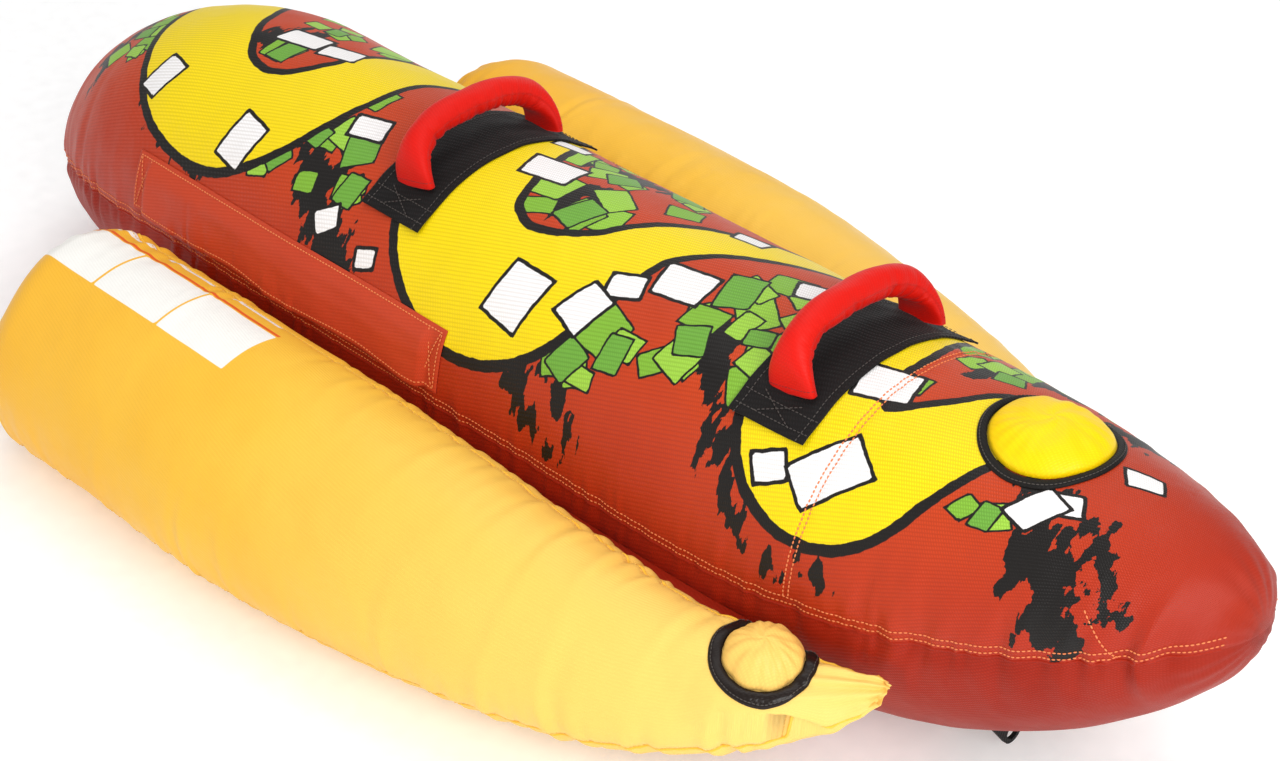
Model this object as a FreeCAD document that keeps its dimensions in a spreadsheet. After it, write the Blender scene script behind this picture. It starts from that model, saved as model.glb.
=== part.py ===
import FreeCAD, Part
import math
import os

# Two-rider towable tube: a long centre tube between two shorter side tubes.
# Frame: millimetres, +Z up, nose towards -Y, X = 0 is the middle plane, and Z = 0
# is the ground that the inflated tube lies on. "right" is the rider's right, -X.
# Every fabric cover is a thin closed shell with an inflated bladder inside it.

V = FreeCAD.Vector
Rotation = FreeCAD.Rotation
Placement = FreeCAD.Placement

doc = FreeCAD.newDocument("towable_tube")
sheet = doc.addObject("Spreadsheet::Sheet", "sizes")

# Driving dimensions: lengths in millimetres, angles in degrees, ratios bare.
SIZES = (
    # centre tube
    ("tube_length", 2300),
    ("tube_radius", 250),
    ("tube_crown", 1.018),  # half height over half width
    ("nose_length", 734),
    ("nose_rise", 141),
    ("tail_length", 498),
    ("tail_drop", 95),
    # walls
    ("cover_wall", 3),
    ("bladder_gap", 1),
    ("bladder_wall", 2.5),
    # side tubes
    ("side_front", -792),
    ("side_rear", 685),
    ("side_half_width", 178),
    ("side_tip_half_width", 16),
    ("side_flatness", 1.21),
    ("side_tilt", 52),
    ("side_tip_rise", 48),
    ("side_tail_round", 105),
    ("side_reach", 0.95),  # how far out the side tube's middle lies, in its half widths
    ("side_clearance", 6),
    ("web_low", 192),
    ("web_high", 222),
    ("web_front", -585),
    ("web_reach", 50),  # how far out from the centre tube a web may run
    ("web_root", 40),  # how far in from the centre tube's widest line it starts
    ("laid_gap", 0.4),  # between a cover and anything that lies on it
    # handles and knuckle guards
    ("front_handle_y", -534),
    ("rear_handle_y", 180),
    ("handle_half_span", 120),
    ("handle_rise", 84),
    ("handle_lean", 13),
    ("handle_axis_height", 12),
    ("grip_radius", 21.5),
    ("grip_end_radius", 12),
    ("core_radius", 6),
    ("core_clearance", 0.3),
    ("guard_length", 120),
    ("guard_half_angle", 41),
    ("guard_wall", 3),
    # valves
    ("valve_flange_radius", 28),
    ("valve_flange_wall", 3),
    ("valve_flange_lift", 1.2),
    ("valve_hole_play", 0.5),
    ("valve_socket_radius", 15),
    ("valve_socket_bore", 11.5),
    ("valve_socket_depth", 16),
    ("valve_socket_top", 4),
    ("seal_wall", 2),
    ("seal_radius", 18),
    ("seal_gap", 0.3),
    ("cap_radius", 20),
    ("cap_height", 7),
    ("cap_stem_radius", 11),
    ("cap_stem_depth", 12),
    ("cap_ribs", 12),
    ("cap_rib_radius", 1.6),
    ("ring_wall", 4),
    ("flap_wall", 3),
    ("flap_lift", 0.8),
    ("nose_valve_y", -838),
    ("nose_ring_outer", 88),
    ("nose_ring_inner", 76),
    ("nose_flap_radius", 74.5),
    ("nose_flap_height", 34),
    ("nose_opening", 62),
    ("side_valve_y", -672),
    ("side_valve_angle", 140),
    ("side_ring_outer", 67),
    ("side_ring_inner", 51),
    ("side_flap_radius", 49.5),
    ("side_flap_height", 37),
    ("side_opening", 40),
    # zipper on the rider's right
    ("zip_front", -5),
    ("zip_rear", 705),
    ("zip_angle_top", 63),
    ("zip_angle_low", 84),
    ("zip_hem", 30),
    ("zip_flap_wall", 2.5),
    ("zip_tunnel", 7.2),
    ("zip_tape_width", 32),
    ("zip_tape_wall", 1.2),
    ("zip_coil_width", 5),
    ("zip_coil_height", 2),
    ("zip_lift", 1.2),  # the tape's underside above the skin
    ("zip_tape_margin", 4),
    ("slider_park", 6),  # from the tape's front end to the closed slider
    ("slider_length", 26),
    ("slider_width", 13),
    ("slider_height", 4.6),
    ("slider_roof", 1.6),
    ("slider_play", 0.4),
    # tow point
    ("tow_y", -823),
    ("tow_patch_length", 150),
    ("tow_patch_half_width", 62),
    ("tow_patch_wall", 2.5),
    ("tow_tab_width", 92),
    ("tow_tab_depth", 50),
    ("tow_tab_wall", 6),
    ("tow_tab_gap", 8),
    ("tow_tip_radius", 17),
    ("tow_eye_radius", 11),
)
for row, (name, value) in enumerate(SIZES, start=1):
    sheet.set(f"A{row}", name)
    sheet.set(f"B{row}", str(value))
    sheet.setAlias(f"B{row}", name)
doc.recompute()


def size(name):
    """A driving dimension as a plain number."""
    return float(sheet.get(name))


TUBE_HALF_HEIGHT = size("tube_radius") * size("tube_crown")
NOSE_ROOT = -size("tube_length") / 2 + size("nose_length")
TAIL_ROOT = size("tube_length") / 2 - size("tail_length")
INNER_FACE = -size("cover_wall")
BLADDER_OUT = INNER_FACE - size("bladder_gap")
BLADDER_IN = BLADDER_OUT - size("bladder_wall")
REACH = 1500  # longer than anything that is cut
END_ANGLE = 86  # degrees round an elliptical end at which it is cut flat
END_SHIFT = 350  # degrees times millimetres: how much sooner an inner skin is cut
STRAIGHT_STATIONS = (0.04, 0.35, 0.65, 0.96)  # shares of the centre tube's straight
SIDE_STATIONS = (0.035, 0.09, 0.18, 0.3, 0.45, 0.62, 0.8, 0.93, 0.985)
SIDE_SWELL = 0.62  # how bluntly a side tube fills out from its tip
SIDE_FULL = 0.7  # share of its length at which it is full
SIDE_RISE_END = 0.22  # share of its length over which the tip comes down
FUZZ = 0.01
CUT_DEPTH = 60  # how far a round cutter runs to either side of the skin

nodes = []


def feature(label, shape, placement=None):
    """A sub-part made from a computed shape."""
    obj = doc.addObject("Part::Feature", label)
    obj.Shape = shape
    obj.Placement = placement or Placement()
    obj.Label = label
    nodes.append(obj)
    return obj


def primitive(kind, name, sizes, base=None, rotation=None):
    """A Part primitive with its sizes bound to the sheet, used to build sub-parts."""
    obj = doc.addObject(kind, name)
    for prop, expression in sizes.items():
        obj.setExpression(prop, expression)
    obj.Placement = Placement(base or V(0, 0, 0), rotation or Rotation())
    return obj


def bound(expression):
    """An expression in which every dimension is read from the sheet."""
    words = expression.replace("(", " ( ").replace(")", " ) ").split()
    named = {name for name, _ in SIZES}
    return " ".join(f"sizes.{word}" if word in named else word for word in words)


# ---------------------------------------------------------------- centre tube


def tube_middle(y):
    """Height of the centre tube's axis at y: level, rising to the nose, dropping at the tail."""
    nose = max(0, (NOSE_ROOT - y) / size("nose_length"))
    tail = max(0, (y - TAIL_ROOT) / size("tail_length"))
    return TUBE_HALF_HEIGHT + size("nose_rise") * nose**2 - size("tail_drop") * tail**2


def tube_half_width(y):
    """Half width of the centre tube at y: straight, with elliptical ends."""
    nose = max(0, (NOSE_ROOT - y) / size("nose_length"))
    tail = max(0, (y - TAIL_ROOT) / size("tail_length"))
    end = max(0, 1 - max(nose, tail) ** 2)
    return size("tube_radius") * math.sqrt(end)


def end_angle(grow, length):
    """Where a rounded end of that length is cut flat; an inner skin ends sooner and stays closed."""
    return END_ANGLE + END_SHIFT / length * min(0, grow)


def tube_stations(grow):
    """(y, fullness) of the sections of the tube, its skin moved out by grow."""
    last = end_angle(grow, size("tail_length"))
    stations = []
    for angle in (last, 77, 66, 54, 40, 26, 12):
        turn = math.radians(angle)
        y = NOSE_ROOT - (size("nose_length") + grow) * math.sin(turn)
        stations.append((y, math.cos(turn)))
    straight = TAIL_ROOT - NOSE_ROOT
    for share in STRAIGHT_STATIONS:
        stations.append((NOSE_ROOT + share * straight, 1.0))
    for angle in (14, 28, 42, 56, 68, 78, last):
        turn = math.radians(angle)
        y = TAIL_ROOT + (size("tail_length") + grow) * math.sin(turn)
        stations.append((y, math.cos(turn)))
    return stations


def ellipse_wire(centre, up, out, part):
    """A section with half axes up and out: the whole ellipse, or its half on up's side."""
    if up.Length >= out.Length:
        curve = Part.Ellipse(centre + up, centre + out, centre)
        start = -math.pi / 2
    else:
        curve = Part.Ellipse(centre + out, centre + up, centre)
        start = 0
    if part == "whole":
        return Part.Wire([curve.toShape()])
    half = Part.ArcOfEllipse(curve, start, start + math.pi).toShape()
    first, last = (vertex.Point for vertex in half.Vertexes)
    return Part.Wire([half, Part.LineSegment(last, first).toShape()])


def tube_body(grow, part="whole"):
    """The centre tube as one solid, or its upper or lower half, its skin moved out by grow."""
    way = -1 if part == "lower" else 1
    sections = []
    for y, fullness in tube_stations(grow):
        high = V(0, 0, way * fullness * (TUBE_HALF_HEIGHT + grow))
        wide = V(fullness * (size("tube_radius") + grow), 0, 0)
        sections.append(ellipse_wire(V(0, y, tube_middle(y)), high, wide, part))
    return Part.makeLoft(sections, True, False)


# ----------------------------------------------------------------- side tubes

SIDE_TILT = math.radians(size("side_tilt"))
SIDE_OUT = V(-math.cos(SIDE_TILT), 0, -math.sin(SIDE_TILT))  # towards the outer seam
SIDE_UP = V(-math.sin(SIDE_TILT), 0, math.cos(SIDE_TILT))  # out of the upper panel
SIDE_TAIL_ROOT = size("side_rear") - size("side_tail_round")


def side_full_width(y):
    """Half width of a side tube before its tail is rounded off."""
    share = (y - size("side_front")) / (size("side_rear") - size("side_front"))
    swell = math.sin(math.pi / 2 * min(1, max(0, share) / SIDE_FULL)) ** SIDE_SWELL
    tip = size("side_tip_half_width")
    return tip + (size("side_half_width") - tip) * swell


def side_middle(y):
    """Centre of a side tube's section, on the rider's right."""
    wide = side_full_width(y)
    share = (y - size("side_front")) / (size("side_rear") - size("side_front"))
    reach = tube_half_width(min(y, TAIL_ROOT)) + size("side_reach") * wide + size("side_clearance")
    half_width = size("side_half_width")
    low = math.hypot(half_width * SIDE_OUT.z, half_width / size("side_flatness") * SIDE_UP.z)
    rise = size("side_tip_rise") * max(0, 1 - share / SIDE_RISE_END) ** 2
    return V(-reach, y, low + rise)


def side_stations(grow):
    """(y, fullness) of the sections of a side tube, its skin moved out by grow."""
    length = SIDE_TAIL_ROOT - size("side_front")
    stations = [(size("side_front") - grow, 1.0)]
    for share in SIDE_STATIONS:
        stations.append((size("side_front") + share * length, 1.0))
    for angle in (14, 34, 54, 71, end_angle(grow, size("side_tail_round") * 2.38)):
        bend = math.radians(angle)
        y = SIDE_TAIL_ROOT + (size("side_tail_round") + grow) * math.sin(bend)
        stations.append((y, math.cos(bend)))
    return stations


def side_body(grow, part="whole"):
    """The right side tube as one solid, or its upper or lower half, its skin moved out by grow."""
    way = -1 if part == "lower" else 1
    sections = []
    for y, fullness in side_stations(grow):
        wide = side_full_width(y)
        out = SIDE_OUT * (fullness * (wide + grow))
        up = SIDE_UP * (way * fullness * (wide / size("side_flatness") + grow))
        sections.append(ellipse_wire(side_middle(y), up, out, part))
    return Part.makeLoft(sections, True, False)


def side_point(y, angle):
    """Point on the right side tube's skin, angle counted from the outer seam over the top."""
    wide = side_full_width(y)
    turn = math.radians(angle)
    up = wide / size("side_flatness")
    return side_middle(y) + SIDE_OUT * (wide * math.cos(turn)) + SIDE_UP * (up * math.sin(turn))


# ------------------------------------------------------------- shared cutters


def cylinder(radius, low, high, placement=None):
    """A plain cylinder along its own Z from low to high."""
    shape = Part.makeCylinder(radius, high - low, V(0, 0, low))
    shape.Placement = placement or Placement()
    return shape


def wedge(low_angle, high_angle, y_low, y_high):
    """A slice of the centre tube's surroundings between two angles from the top, on the right."""
    middle = TUBE_HALF_HEIGHT
    corners = [V(0, y_low, middle)]
    for angle in (low_angle, high_angle):
        turn = math.radians(angle)
        far = V(-REACH * math.sin(turn), y_low, middle + REACH * math.cos(turn))
        corners.append(far)
    face = Part.Face(Part.makePolygon(corners + [corners[0]]))
    return face.extrude(V(0, y_high - y_low, 0))


# ------------------------------------------------------------ covers, bladders

tube_skin = tube_body(0)
tube_inside = tube_body(INNER_FACE)
side_skin = side_body(0)
side_inside = side_body(INNER_FACE)

nose_valve_top = tube_middle(size("nose_valve_y"))
nose_valve_top += tube_half_width(size("nose_valve_y")) * size("tube_crown")
nose_valve = Placement(V(0, size("nose_valve_y"), nose_valve_top), Rotation())

probe = 1.0  # millimetres or degrees to either side, to find the skin's slope
valve_y = size("side_valve_y")
valve_angle = size("side_valve_angle")
along = side_point(valve_y + probe, valve_angle) - side_point(valve_y - probe, valve_angle)
across = side_point(valve_y, valve_angle + probe) - side_point(valve_y, valve_angle - probe)
outward = across.cross(along).normalize()
if outward.z < 0:
    outward = outward * -1
side_valve = Placement(side_point(valve_y, valve_angle), Rotation(V(0, 0, 1), outward))


def mirrored(shape):
    """The same shape on the rider's left."""
    return shape.mirror(V(0, 0, 0), V(1, 0, 0))


def on_left(placement):
    """The placement of a valve on the rider's left."""
    base = placement.Base
    axis = placement.Rotation.multVec(V(0, 0, 1))
    return Placement(V(-base.x, base.y, base.z), Rotation(V(0, 0, 1), V(-axis.x, axis.y, axis.z)))


def less(shape, *tools):
    """What is left of shape outside the tools, with curved faces matched within FUZZ."""
    return shape.cut(list(tools), FUZZ)


def opened(cover, opening, placement):
    """A cover with its round valve opening."""
    return less(cover, cylinder(opening, -CUT_DEPTH, CUT_DEPTH, placement))


def bladder(body, placement):
    """An inflated bladder with the hole that its valve is welded into."""
    radius = size("valve_socket_radius") + size("valve_hole_play")
    hole = cylinder(radius, -CUT_DEPTH, CUT_DEPTH, placement)
    return less(body(BLADDER_OUT), body(BLADDER_IN), hole)


tube_top = less(tube_body(0, "upper"), tube_inside)
feature("center_cover_top", opened(tube_top, size("nose_opening"), nose_valve))
feature("center_cover_bottom", less(tube_body(0, "lower"), tube_inside))
feature("center_bladder", bladder(tube_body, nose_valve))

side_top = less(side_body(0, "upper"), side_inside)
side_top = opened(side_top, size("side_opening"), side_valve)
side_bottom = less(side_body(0, "lower"), side_inside)
side_bladder = bladder(side_body, side_valve)

# The web that joins a side tube to the centre tube along the line where they nearly touch.
web_box = Part.makeBox(
    size("web_reach") + size("web_root"),
    SIDE_TAIL_ROOT - size("web_front"),
    size("web_high") - size("web_low"),
    V(-size("tube_radius") - size("web_reach"), size("web_front"), size("web_low")),
)
web_tools = [tube_body(size("laid_gap"))]
web_tools += [side_body(size("laid_gap"), half) for half in ("upper", "lower")]
web = web_box.cut(web_tools)
web = max(web.Solids, key=lambda solid: solid.Volume)

for side, turned in (("right", lambda shape: shape), ("left", mirrored)):
    feature(f"{side}_bun_cover_top", turned(side_top))
    feature(f"{side}_bun_cover_bottom", turned(side_bottom))
    feature(f"{side}_bun_bladder", turned(side_bladder))
    feature(f"{side}_bun_web", turned(web))

# -------------------------------------------------------------------- valves


def valve_dressing(placement, skin, ring_outer, ring_inner, flap_radius, flap_height):
    """The sewn ring that lies on the cover round a valve, and the domed flap inside it."""
    annulus = cylinder(ring_outer, -CUT_DEPTH, CUT_DEPTH, placement)
    annulus = annulus.cut(cylinder(ring_inner, -2 * CUT_DEPTH, 2 * CUT_DEPTH, placement))
    ring = skin(size("ring_wall")).common(annulus).cut(skin(size("laid_gap")))

    wall = size("flap_wall")
    round_outer = (flap_radius**2 + flap_height**2) / (2 * flap_height)
    middle = V(0, 0, flap_height - round_outer)
    above = cylinder(flap_radius + 1, 0, 2 * flap_height)
    dome = Part.makeSphere(round_outer, middle).common(above)
    dome = dome.cut(Part.makeSphere(round_outer - wall, middle))
    skirt = cylinder(flap_radius, -CUT_DEPTH / 2, 0)
    skirt = skirt.cut(cylinder(flap_radius - wall, -CUT_DEPTH, CUT_DEPTH))
    dome = dome.fuse(skirt)
    dome.Placement = placement
    return ring, dome.cut(skin(size("flap_lift")))


def valve(name, placement):
    """The hard parts of one inflation valve: base, seal and screw cap."""
    flange = primitive(
        "Part::Cylinder",
        f"{name}_flange",
        {"Radius": bound("valve_flange_radius"), "Height": bound("valve_flange_wall")},
        V(0, 0, BLADDER_OUT + size("valve_flange_lift")),
    )
    socket = primitive(
        "Part::Cylinder",
        f"{name}_socket",
        {
            "Radius": bound("valve_socket_radius"),
            "Height": bound("valve_socket_depth + valve_socket_top"),
        },
        V(0, 0, -size("valve_socket_depth")),
    )
    bore = primitive(
        "Part::Cylinder",
        f"{name}_bore",
        {"Radius": bound("valve_socket_bore"), "Height": bound("3 * valve_socket_depth")},
        V(0, 0, -2 * size("valve_socket_depth")),
    )
    base = doc.addObject("Part::Cut", f"{name}_base")
    joined = doc.addObject("Part::Fuse", f"{name}_base_outside")
    joined.Base, joined.Tool = flange, socket
    base.Base, base.Tool = joined, bore
    base.Placement = placement
    base.Label = f"{name}_base"

    seal_disc = primitive(
        "Part::Cylinder",
        f"{name}_seal_disc",
        {"Radius": bound("seal_radius"), "Height": bound("seal_wall")},
        V(0, 0, size("valve_socket_top") + size("seal_gap")),
    )
    seal_hole = primitive(
        "Part::Cylinder",
        f"{name}_seal_hole",
        {"Radius": bound("cap_stem_radius + slider_play"), "Height": bound("6 * seal_wall")},
    )
    seal = doc.addObject("Part::Cut", f"{name}_seal")
    seal.Base, seal.Tool = seal_disc, seal_hole
    seal.Placement = placement
    seal.Label = f"{name}_seal"

    cap_foot = size("valve_socket_top") + size("seal_wall") + 2 * size("seal_gap")
    cap_disc = primitive(
        "Part::Cylinder",
        f"{name}_cap_disc",
        {"Radius": bound("cap_radius"), "Height": bound("cap_height")},
        V(0, 0, cap_foot),
    )
    stem = primitive(
        "Part::Cylinder",
        f"{name}_cap_stem",
        {"Radius": bound("cap_stem_radius"), "Height": bound("cap_stem_depth + cap_height")},
        V(0, 0, cap_foot - size("cap_stem_depth")),
    )
    pieces = [cap_disc, stem]
    ribs = int(size("cap_ribs"))
    for rib in range(ribs):
        turn = 2 * math.pi * rib / ribs
        spot = V(size("cap_radius") * math.cos(turn), size("cap_radius") * math.sin(turn), cap_foot)
        pieces.append(
            primitive(
                "Part::Cylinder",
                f"{name}_cap_rib_{rib}",
                {"Radius": bound("cap_rib_radius"), "Height": bound("cap_height")},
                spot,
            )
        )
    cap = doc.addObject("Part::MultiFuse", f"{name}_cap")
    cap.Shapes = pieces
    cap.Placement = placement
    cap.Label = f"{name}_cap"
    nodes.extend((base, seal, cap))


valve("center_valve", nose_valve)
ring, flap = valve_dressing(
    nose_valve,
    tube_body,
    size("nose_ring_outer"),
    size("nose_ring_inner"),
    size("nose_flap_radius"),
    size("nose_flap_height"),
)
feature("center_valve_ring", ring)
feature("center_valve_flap", flap)

ring, flap = valve_dressing(
    side_valve,
    side_body,
    size("side_ring_outer"),
    size("side_ring_inner"),
    size("side_flap_radius"),
    size("side_flap_height"),
)
valve("right_bun_valve", side_valve)
feature("right_bun_valve_ring", ring)
feature("right_bun_valve_flap", flap)
valve("left_bun_valve", on_left(side_valve))
feature("left_bun_valve_ring", mirrored(ring))
feature("left_bun_valve_flap", mirrored(flap))

# ------------------------------------------------- knuckle guards and handles


def tube_top(x, y):
    """Height of the centre tube's skin above the point x, y."""
    half_width = tube_half_width(y)
    return tube_middle(y) + size("tube_crown") * math.sqrt(half_width**2 - x**2)


guard_skin = tube_body(size("guard_wall"))
laid_skin = tube_body(size("laid_gap"))
GRIP_START = 9  # degrees round the arch at which the padding begins
GRIP_SWELL = 0.22  # share of the arch's height over which it fills out
guard_half_width = size("tube_radius") * math.sin(math.radians(size("guard_half_angle")))


def handle_axis_height(y):
    """Height of the line that a handle swings about, through its two feet."""
    return tube_top(size("handle_half_span"), y) + size("handle_axis_height")


def arch(y, start, rings, radius_at):
    """A round bar along the handle's arch, from start degrees up one side and down the other."""
    lean = math.radians(size("handle_lean"))
    rise = size("handle_rise") - size("handle_axis_height")
    foot = V(0, y, handle_axis_height(y))
    sections = []
    for ring in range(rings):
        turn = math.radians(start + (180 - 2 * start) * ring / (rings - 1))
        up = V(0, math.sin(lean), math.cos(lean))
        out = V(1, 0, 0)
        span = size("handle_half_span")
        spot = foot - out * (span * math.cos(turn)) + up * (rise * math.sin(turn))
        along = out * (span * math.sin(turn)) + up * (rise * math.cos(turn))
        circle = Part.Circle(spot, along, radius_at(turn))
        sections.append(Part.Wire([circle.toShape()]))
    return Part.makeLoft(sections, True, False)


def grip_radius_at(turn):
    """Radius of the padded grip: full along the arch, drawn in at the two sewn ends."""
    share = min(1, (math.sin(turn) - math.sin(math.radians(GRIP_START))) / GRIP_SWELL)
    end = size("grip_end_radius")
    return end + (size("grip_radius") - end) * math.sin(math.pi / 2 * share)


for side in ("front", "rear"):
    y = size(f"{side}_handle_y")
    box = Part.makeBox(
        2 * guard_half_width,
        size("guard_length"),
        REACH,
        V(-guard_half_width, y - size("guard_length") / 2, TUBE_HALF_HEIGHT),
    )
    feature(f"{side}_knuckle_guard", guard_skin.common(box).cut(laid_skin))
    ends = []
    for end in (-1, 1):
        spot = V(end * size("handle_half_span"), y, handle_axis_height(y))
        ends.append(Part.makeSphere(size("core_radius"), spot))
    bar = arch(y, 0, 13, lambda turn: size("core_radius"))
    feature(f"{side}_grip_webbing", bar.fuse(ends))
    around = arch(y, 3, 13, lambda turn: size("core_radius") + size("core_clearance"))
    feature(f"{side}_grip_pad", arch(y, GRIP_START, 17, grip_radius_at).cut(around))

# ------------------------------------------------------- zipper and its flap

zip_middle_angle = (size("zip_angle_top") + size("zip_angle_low")) / 2
flap_out = size("zip_tunnel") + size("zip_flap_wall")
flap_region = wedge(
    size("zip_angle_top"), size("zip_angle_low"), size("zip_front"), size("zip_rear")
)
TUNNEL_SHIFT = 2  # degrees: sewn along its upper edge, open along its lower one
tunnel_region = wedge(
    size("zip_angle_top") + TUNNEL_SHIFT,
    size("zip_angle_low") + TUNNEL_SHIFT,
    size("zip_front") + size("zip_hem"),
    size("zip_rear") - size("zip_hem"),
)
tunnel = tube_body(size("zip_tunnel")).common(tunnel_region)
zip_flap = tube_body(flap_out).common(flap_region).cut([laid_skin, tunnel])
feature("zipper_flap", zip_flap)

# The zipper lies flat against the skin at its middle angle; its own Z points out of the tube.
turn = math.radians(zip_middle_angle)
zip_spot = V(
    -size("tube_radius") * math.sin(turn),
    0,
    TUBE_HALF_HEIGHT + TUBE_HALF_HEIGHT * math.cos(turn),
)
zip_normal = V(-math.sin(turn) / size("tube_radius"), 0, math.cos(turn) / TUBE_HALF_HEIGHT)
zip_placement = Placement(zip_spot, Rotation(V(0, 0, 1), zip_normal))
zip_tape_front = size("zip_front") + size("zip_hem") + size("zip_tape_margin")
zip_tape_length = TAIL_ROOT - size("zip_tape_margin") - zip_tape_front

tape = primitive(
    "Part::Box",
    "zip_tape",
    {
        "Width": str(zip_tape_length),
        "Length": bound("zip_tape_width"),
        "Height": bound("zip_tape_wall"),
    },
    V(-size("zip_tape_width") / 2, zip_tape_front, size("zip_lift")),
)
coil = primitive(
    "Part::Box",
    "zip_coil",
    {
        "Width": str(zip_tape_length),
        "Length": bound("zip_coil_width"),
        "Height": bound("zip_coil_height"),
    },
    V(-size("zip_coil_width") / 2, zip_tape_front, size("zip_lift") + size("zip_tape_wall") / 2),
)
zipper = doc.addObject("Part::Fuse", "zipper")
zipper.Base, zipper.Tool = tape, coil
zipper.Placement = zip_placement
zipper.Label = "zipper"

slider_foot = size("zip_lift") + size("zip_tape_wall") + size("slider_play")
slider_block = primitive(
    "Part::Box",
    "slider_block",
    {
        "Length": bound("slider_width"),
        "Width": bound("slider_length"),
        "Height": bound("slider_height - slider_roof"),
    },
    V(-size("slider_width") / 2, zip_tape_front + size("slider_park"), slider_foot),
)
slider_slot = primitive(
    "Part::Box",
    "slider_slot",
    {
        "Length": bound("zip_coil_width + 2 * slider_play"),
        "Width": bound("2 * slider_length"),
        "Height": bound("zip_coil_height + slider_play"),
    },
    V(-size("zip_coil_width") / 2 - size("slider_play"), zip_tape_front, slider_foot - 1),
)
slider = doc.addObject("Part::Cut", "zipper_slider")
slider.Base, slider.Tool = slider_block, slider_slot
slider.Placement = zip_placement
slider.Label = "zipper_slider"
nodes.extend((zipper, slider))

# ---------------------------------------------------------------- tow point

patch_box = Part.makeBox(
    2 * size("tow_patch_half_width"),
    size("tow_patch_length"),
    TUBE_HALF_HEIGHT,
    V(-size("tow_patch_half_width"), size("tow_y") - size("tow_patch_length") / 2, 0),
)
tow_patch = tube_body(size("tow_patch_wall")).common(patch_box).cut(laid_skin)
feature("tow_patch", tow_patch)

tow_hull = tube_middle(size("tow_y")) - tube_half_width(size("tow_y")) * size("tube_crown")
tow_top = tow_hull - size("tow_tab_gap")


def add_tow_tab():
    """The hanging tow tab: a webbing triangle with rounded tip and an eye for the tow rope."""
    body = doc.addObject("PartDesign::Body", "tow_tab")
    plane = next(f for f in body.Origin.OriginFeatures if f.Role == "XZ_Plane")
    outline = body.newObject("Sketcher::SketchObject", "tow_tab_outline")
    outline.AttachmentSupport = (plane, [""])
    outline.MapMode = "FlatFace"
    half = size("tow_tab_width") / 2
    tip = size("tow_tip_radius")
    centre = V(0, -size("tow_tab_depth") + tip, 0)
    # the straight sides run from the top corners tangent to the rounded tip
    reach = math.hypot(half, centre.y)
    slope = math.atan2(-centre.y, half) + math.asin(tip / reach)
    run = math.sqrt(reach**2 - tip**2)
    right_end = V(half - run * math.cos(slope), -run * math.sin(slope), 0)
    left_end = V(-right_end.x, right_end.y, 0)
    low = V(0, centre.y - tip, 0)
    outline.addGeometry(Part.LineSegment(V(-half, 0, 0), V(half, 0, 0)), False)
    outline.addGeometry(Part.LineSegment(V(half, 0, 0), right_end), False)
    outline.addGeometry(Part.Arc(right_end, low, left_end), False)
    outline.addGeometry(Part.LineSegment(left_end, V(-half, 0, 0)), False)
    outline.addGeometry(Part.Circle(centre, V(0, 0, 1), size("tow_eye_radius")), False)
    pad = body.newObject("PartDesign::Pad", "tow_tab_pad")
    pad.Profile = outline
    pad.setExpression("Length", bound("tow_tab_wall"))
    pad.Midplane = True
    body.Placement = Placement(V(0, size("tow_y"), tow_top), Rotation())
    body.Label = "tow_tab"
    nodes.append(body)


add_tow_tab()
doc.recompute()

# ------------------------------------------------------------ checks, output

for obj in doc.Objects:
    if "Invalid" in obj.State or "Error" in obj.State:
        raise RuntimeError(f"{obj.Name} failed: {obj.State}")
os.makedirs("parts", exist_ok=True)
for obj in nodes:
    shape = obj.Shape
    if shape.isNull() or not shape.isValid():
        raise RuntimeError(f"{obj.Label} has no valid shape")
    shape.exportStep(f"parts/{obj.Label}.step")
    box = shape.BoundBox
    volume = shape.Volume / 1000
    print(f"{obj.Label}: {len(shape.Solids)} solid, {volume:.1f} cm3, z {box.ZMin:.1f}..{box.ZMax:.1f}")

print("nose valve", nose_valve.Base)
print("side valve", side_valve.Base, outward)
for side in ("front", "rear"):
    print(f"{side} handle axis height", handle_axis_height(size(f"{side}_handle_y")))
print("tow tab top", tow_top)
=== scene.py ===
import math
import random

import bmesh
import bpy
import numpy as np
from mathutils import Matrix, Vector
from mathutils.bvhtree import BVHTree


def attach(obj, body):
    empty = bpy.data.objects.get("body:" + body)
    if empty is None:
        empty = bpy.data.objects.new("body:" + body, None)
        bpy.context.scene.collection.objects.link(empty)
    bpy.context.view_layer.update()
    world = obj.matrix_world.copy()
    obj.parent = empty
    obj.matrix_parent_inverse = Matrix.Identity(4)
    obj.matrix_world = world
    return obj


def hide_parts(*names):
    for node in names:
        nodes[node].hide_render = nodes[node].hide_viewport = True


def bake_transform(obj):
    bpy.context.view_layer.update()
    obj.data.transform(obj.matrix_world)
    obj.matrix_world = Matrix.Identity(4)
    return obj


# Looks of a two-rider towable tube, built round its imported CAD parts.
# Metres; +Z up, the nose towards -Y, the rider's right towards -X, the ground at Z = 0.
# A side tube is a "bun": the right one is drawn, and the left one is its mirror.

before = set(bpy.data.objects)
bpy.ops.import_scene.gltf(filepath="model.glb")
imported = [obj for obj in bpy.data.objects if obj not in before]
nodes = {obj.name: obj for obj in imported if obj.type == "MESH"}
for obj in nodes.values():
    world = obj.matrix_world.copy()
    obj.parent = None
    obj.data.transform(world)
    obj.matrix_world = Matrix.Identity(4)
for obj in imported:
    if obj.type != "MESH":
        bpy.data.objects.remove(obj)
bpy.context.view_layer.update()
scene = bpy.context.scene

# ------------------------------------------------------------------ camera

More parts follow.
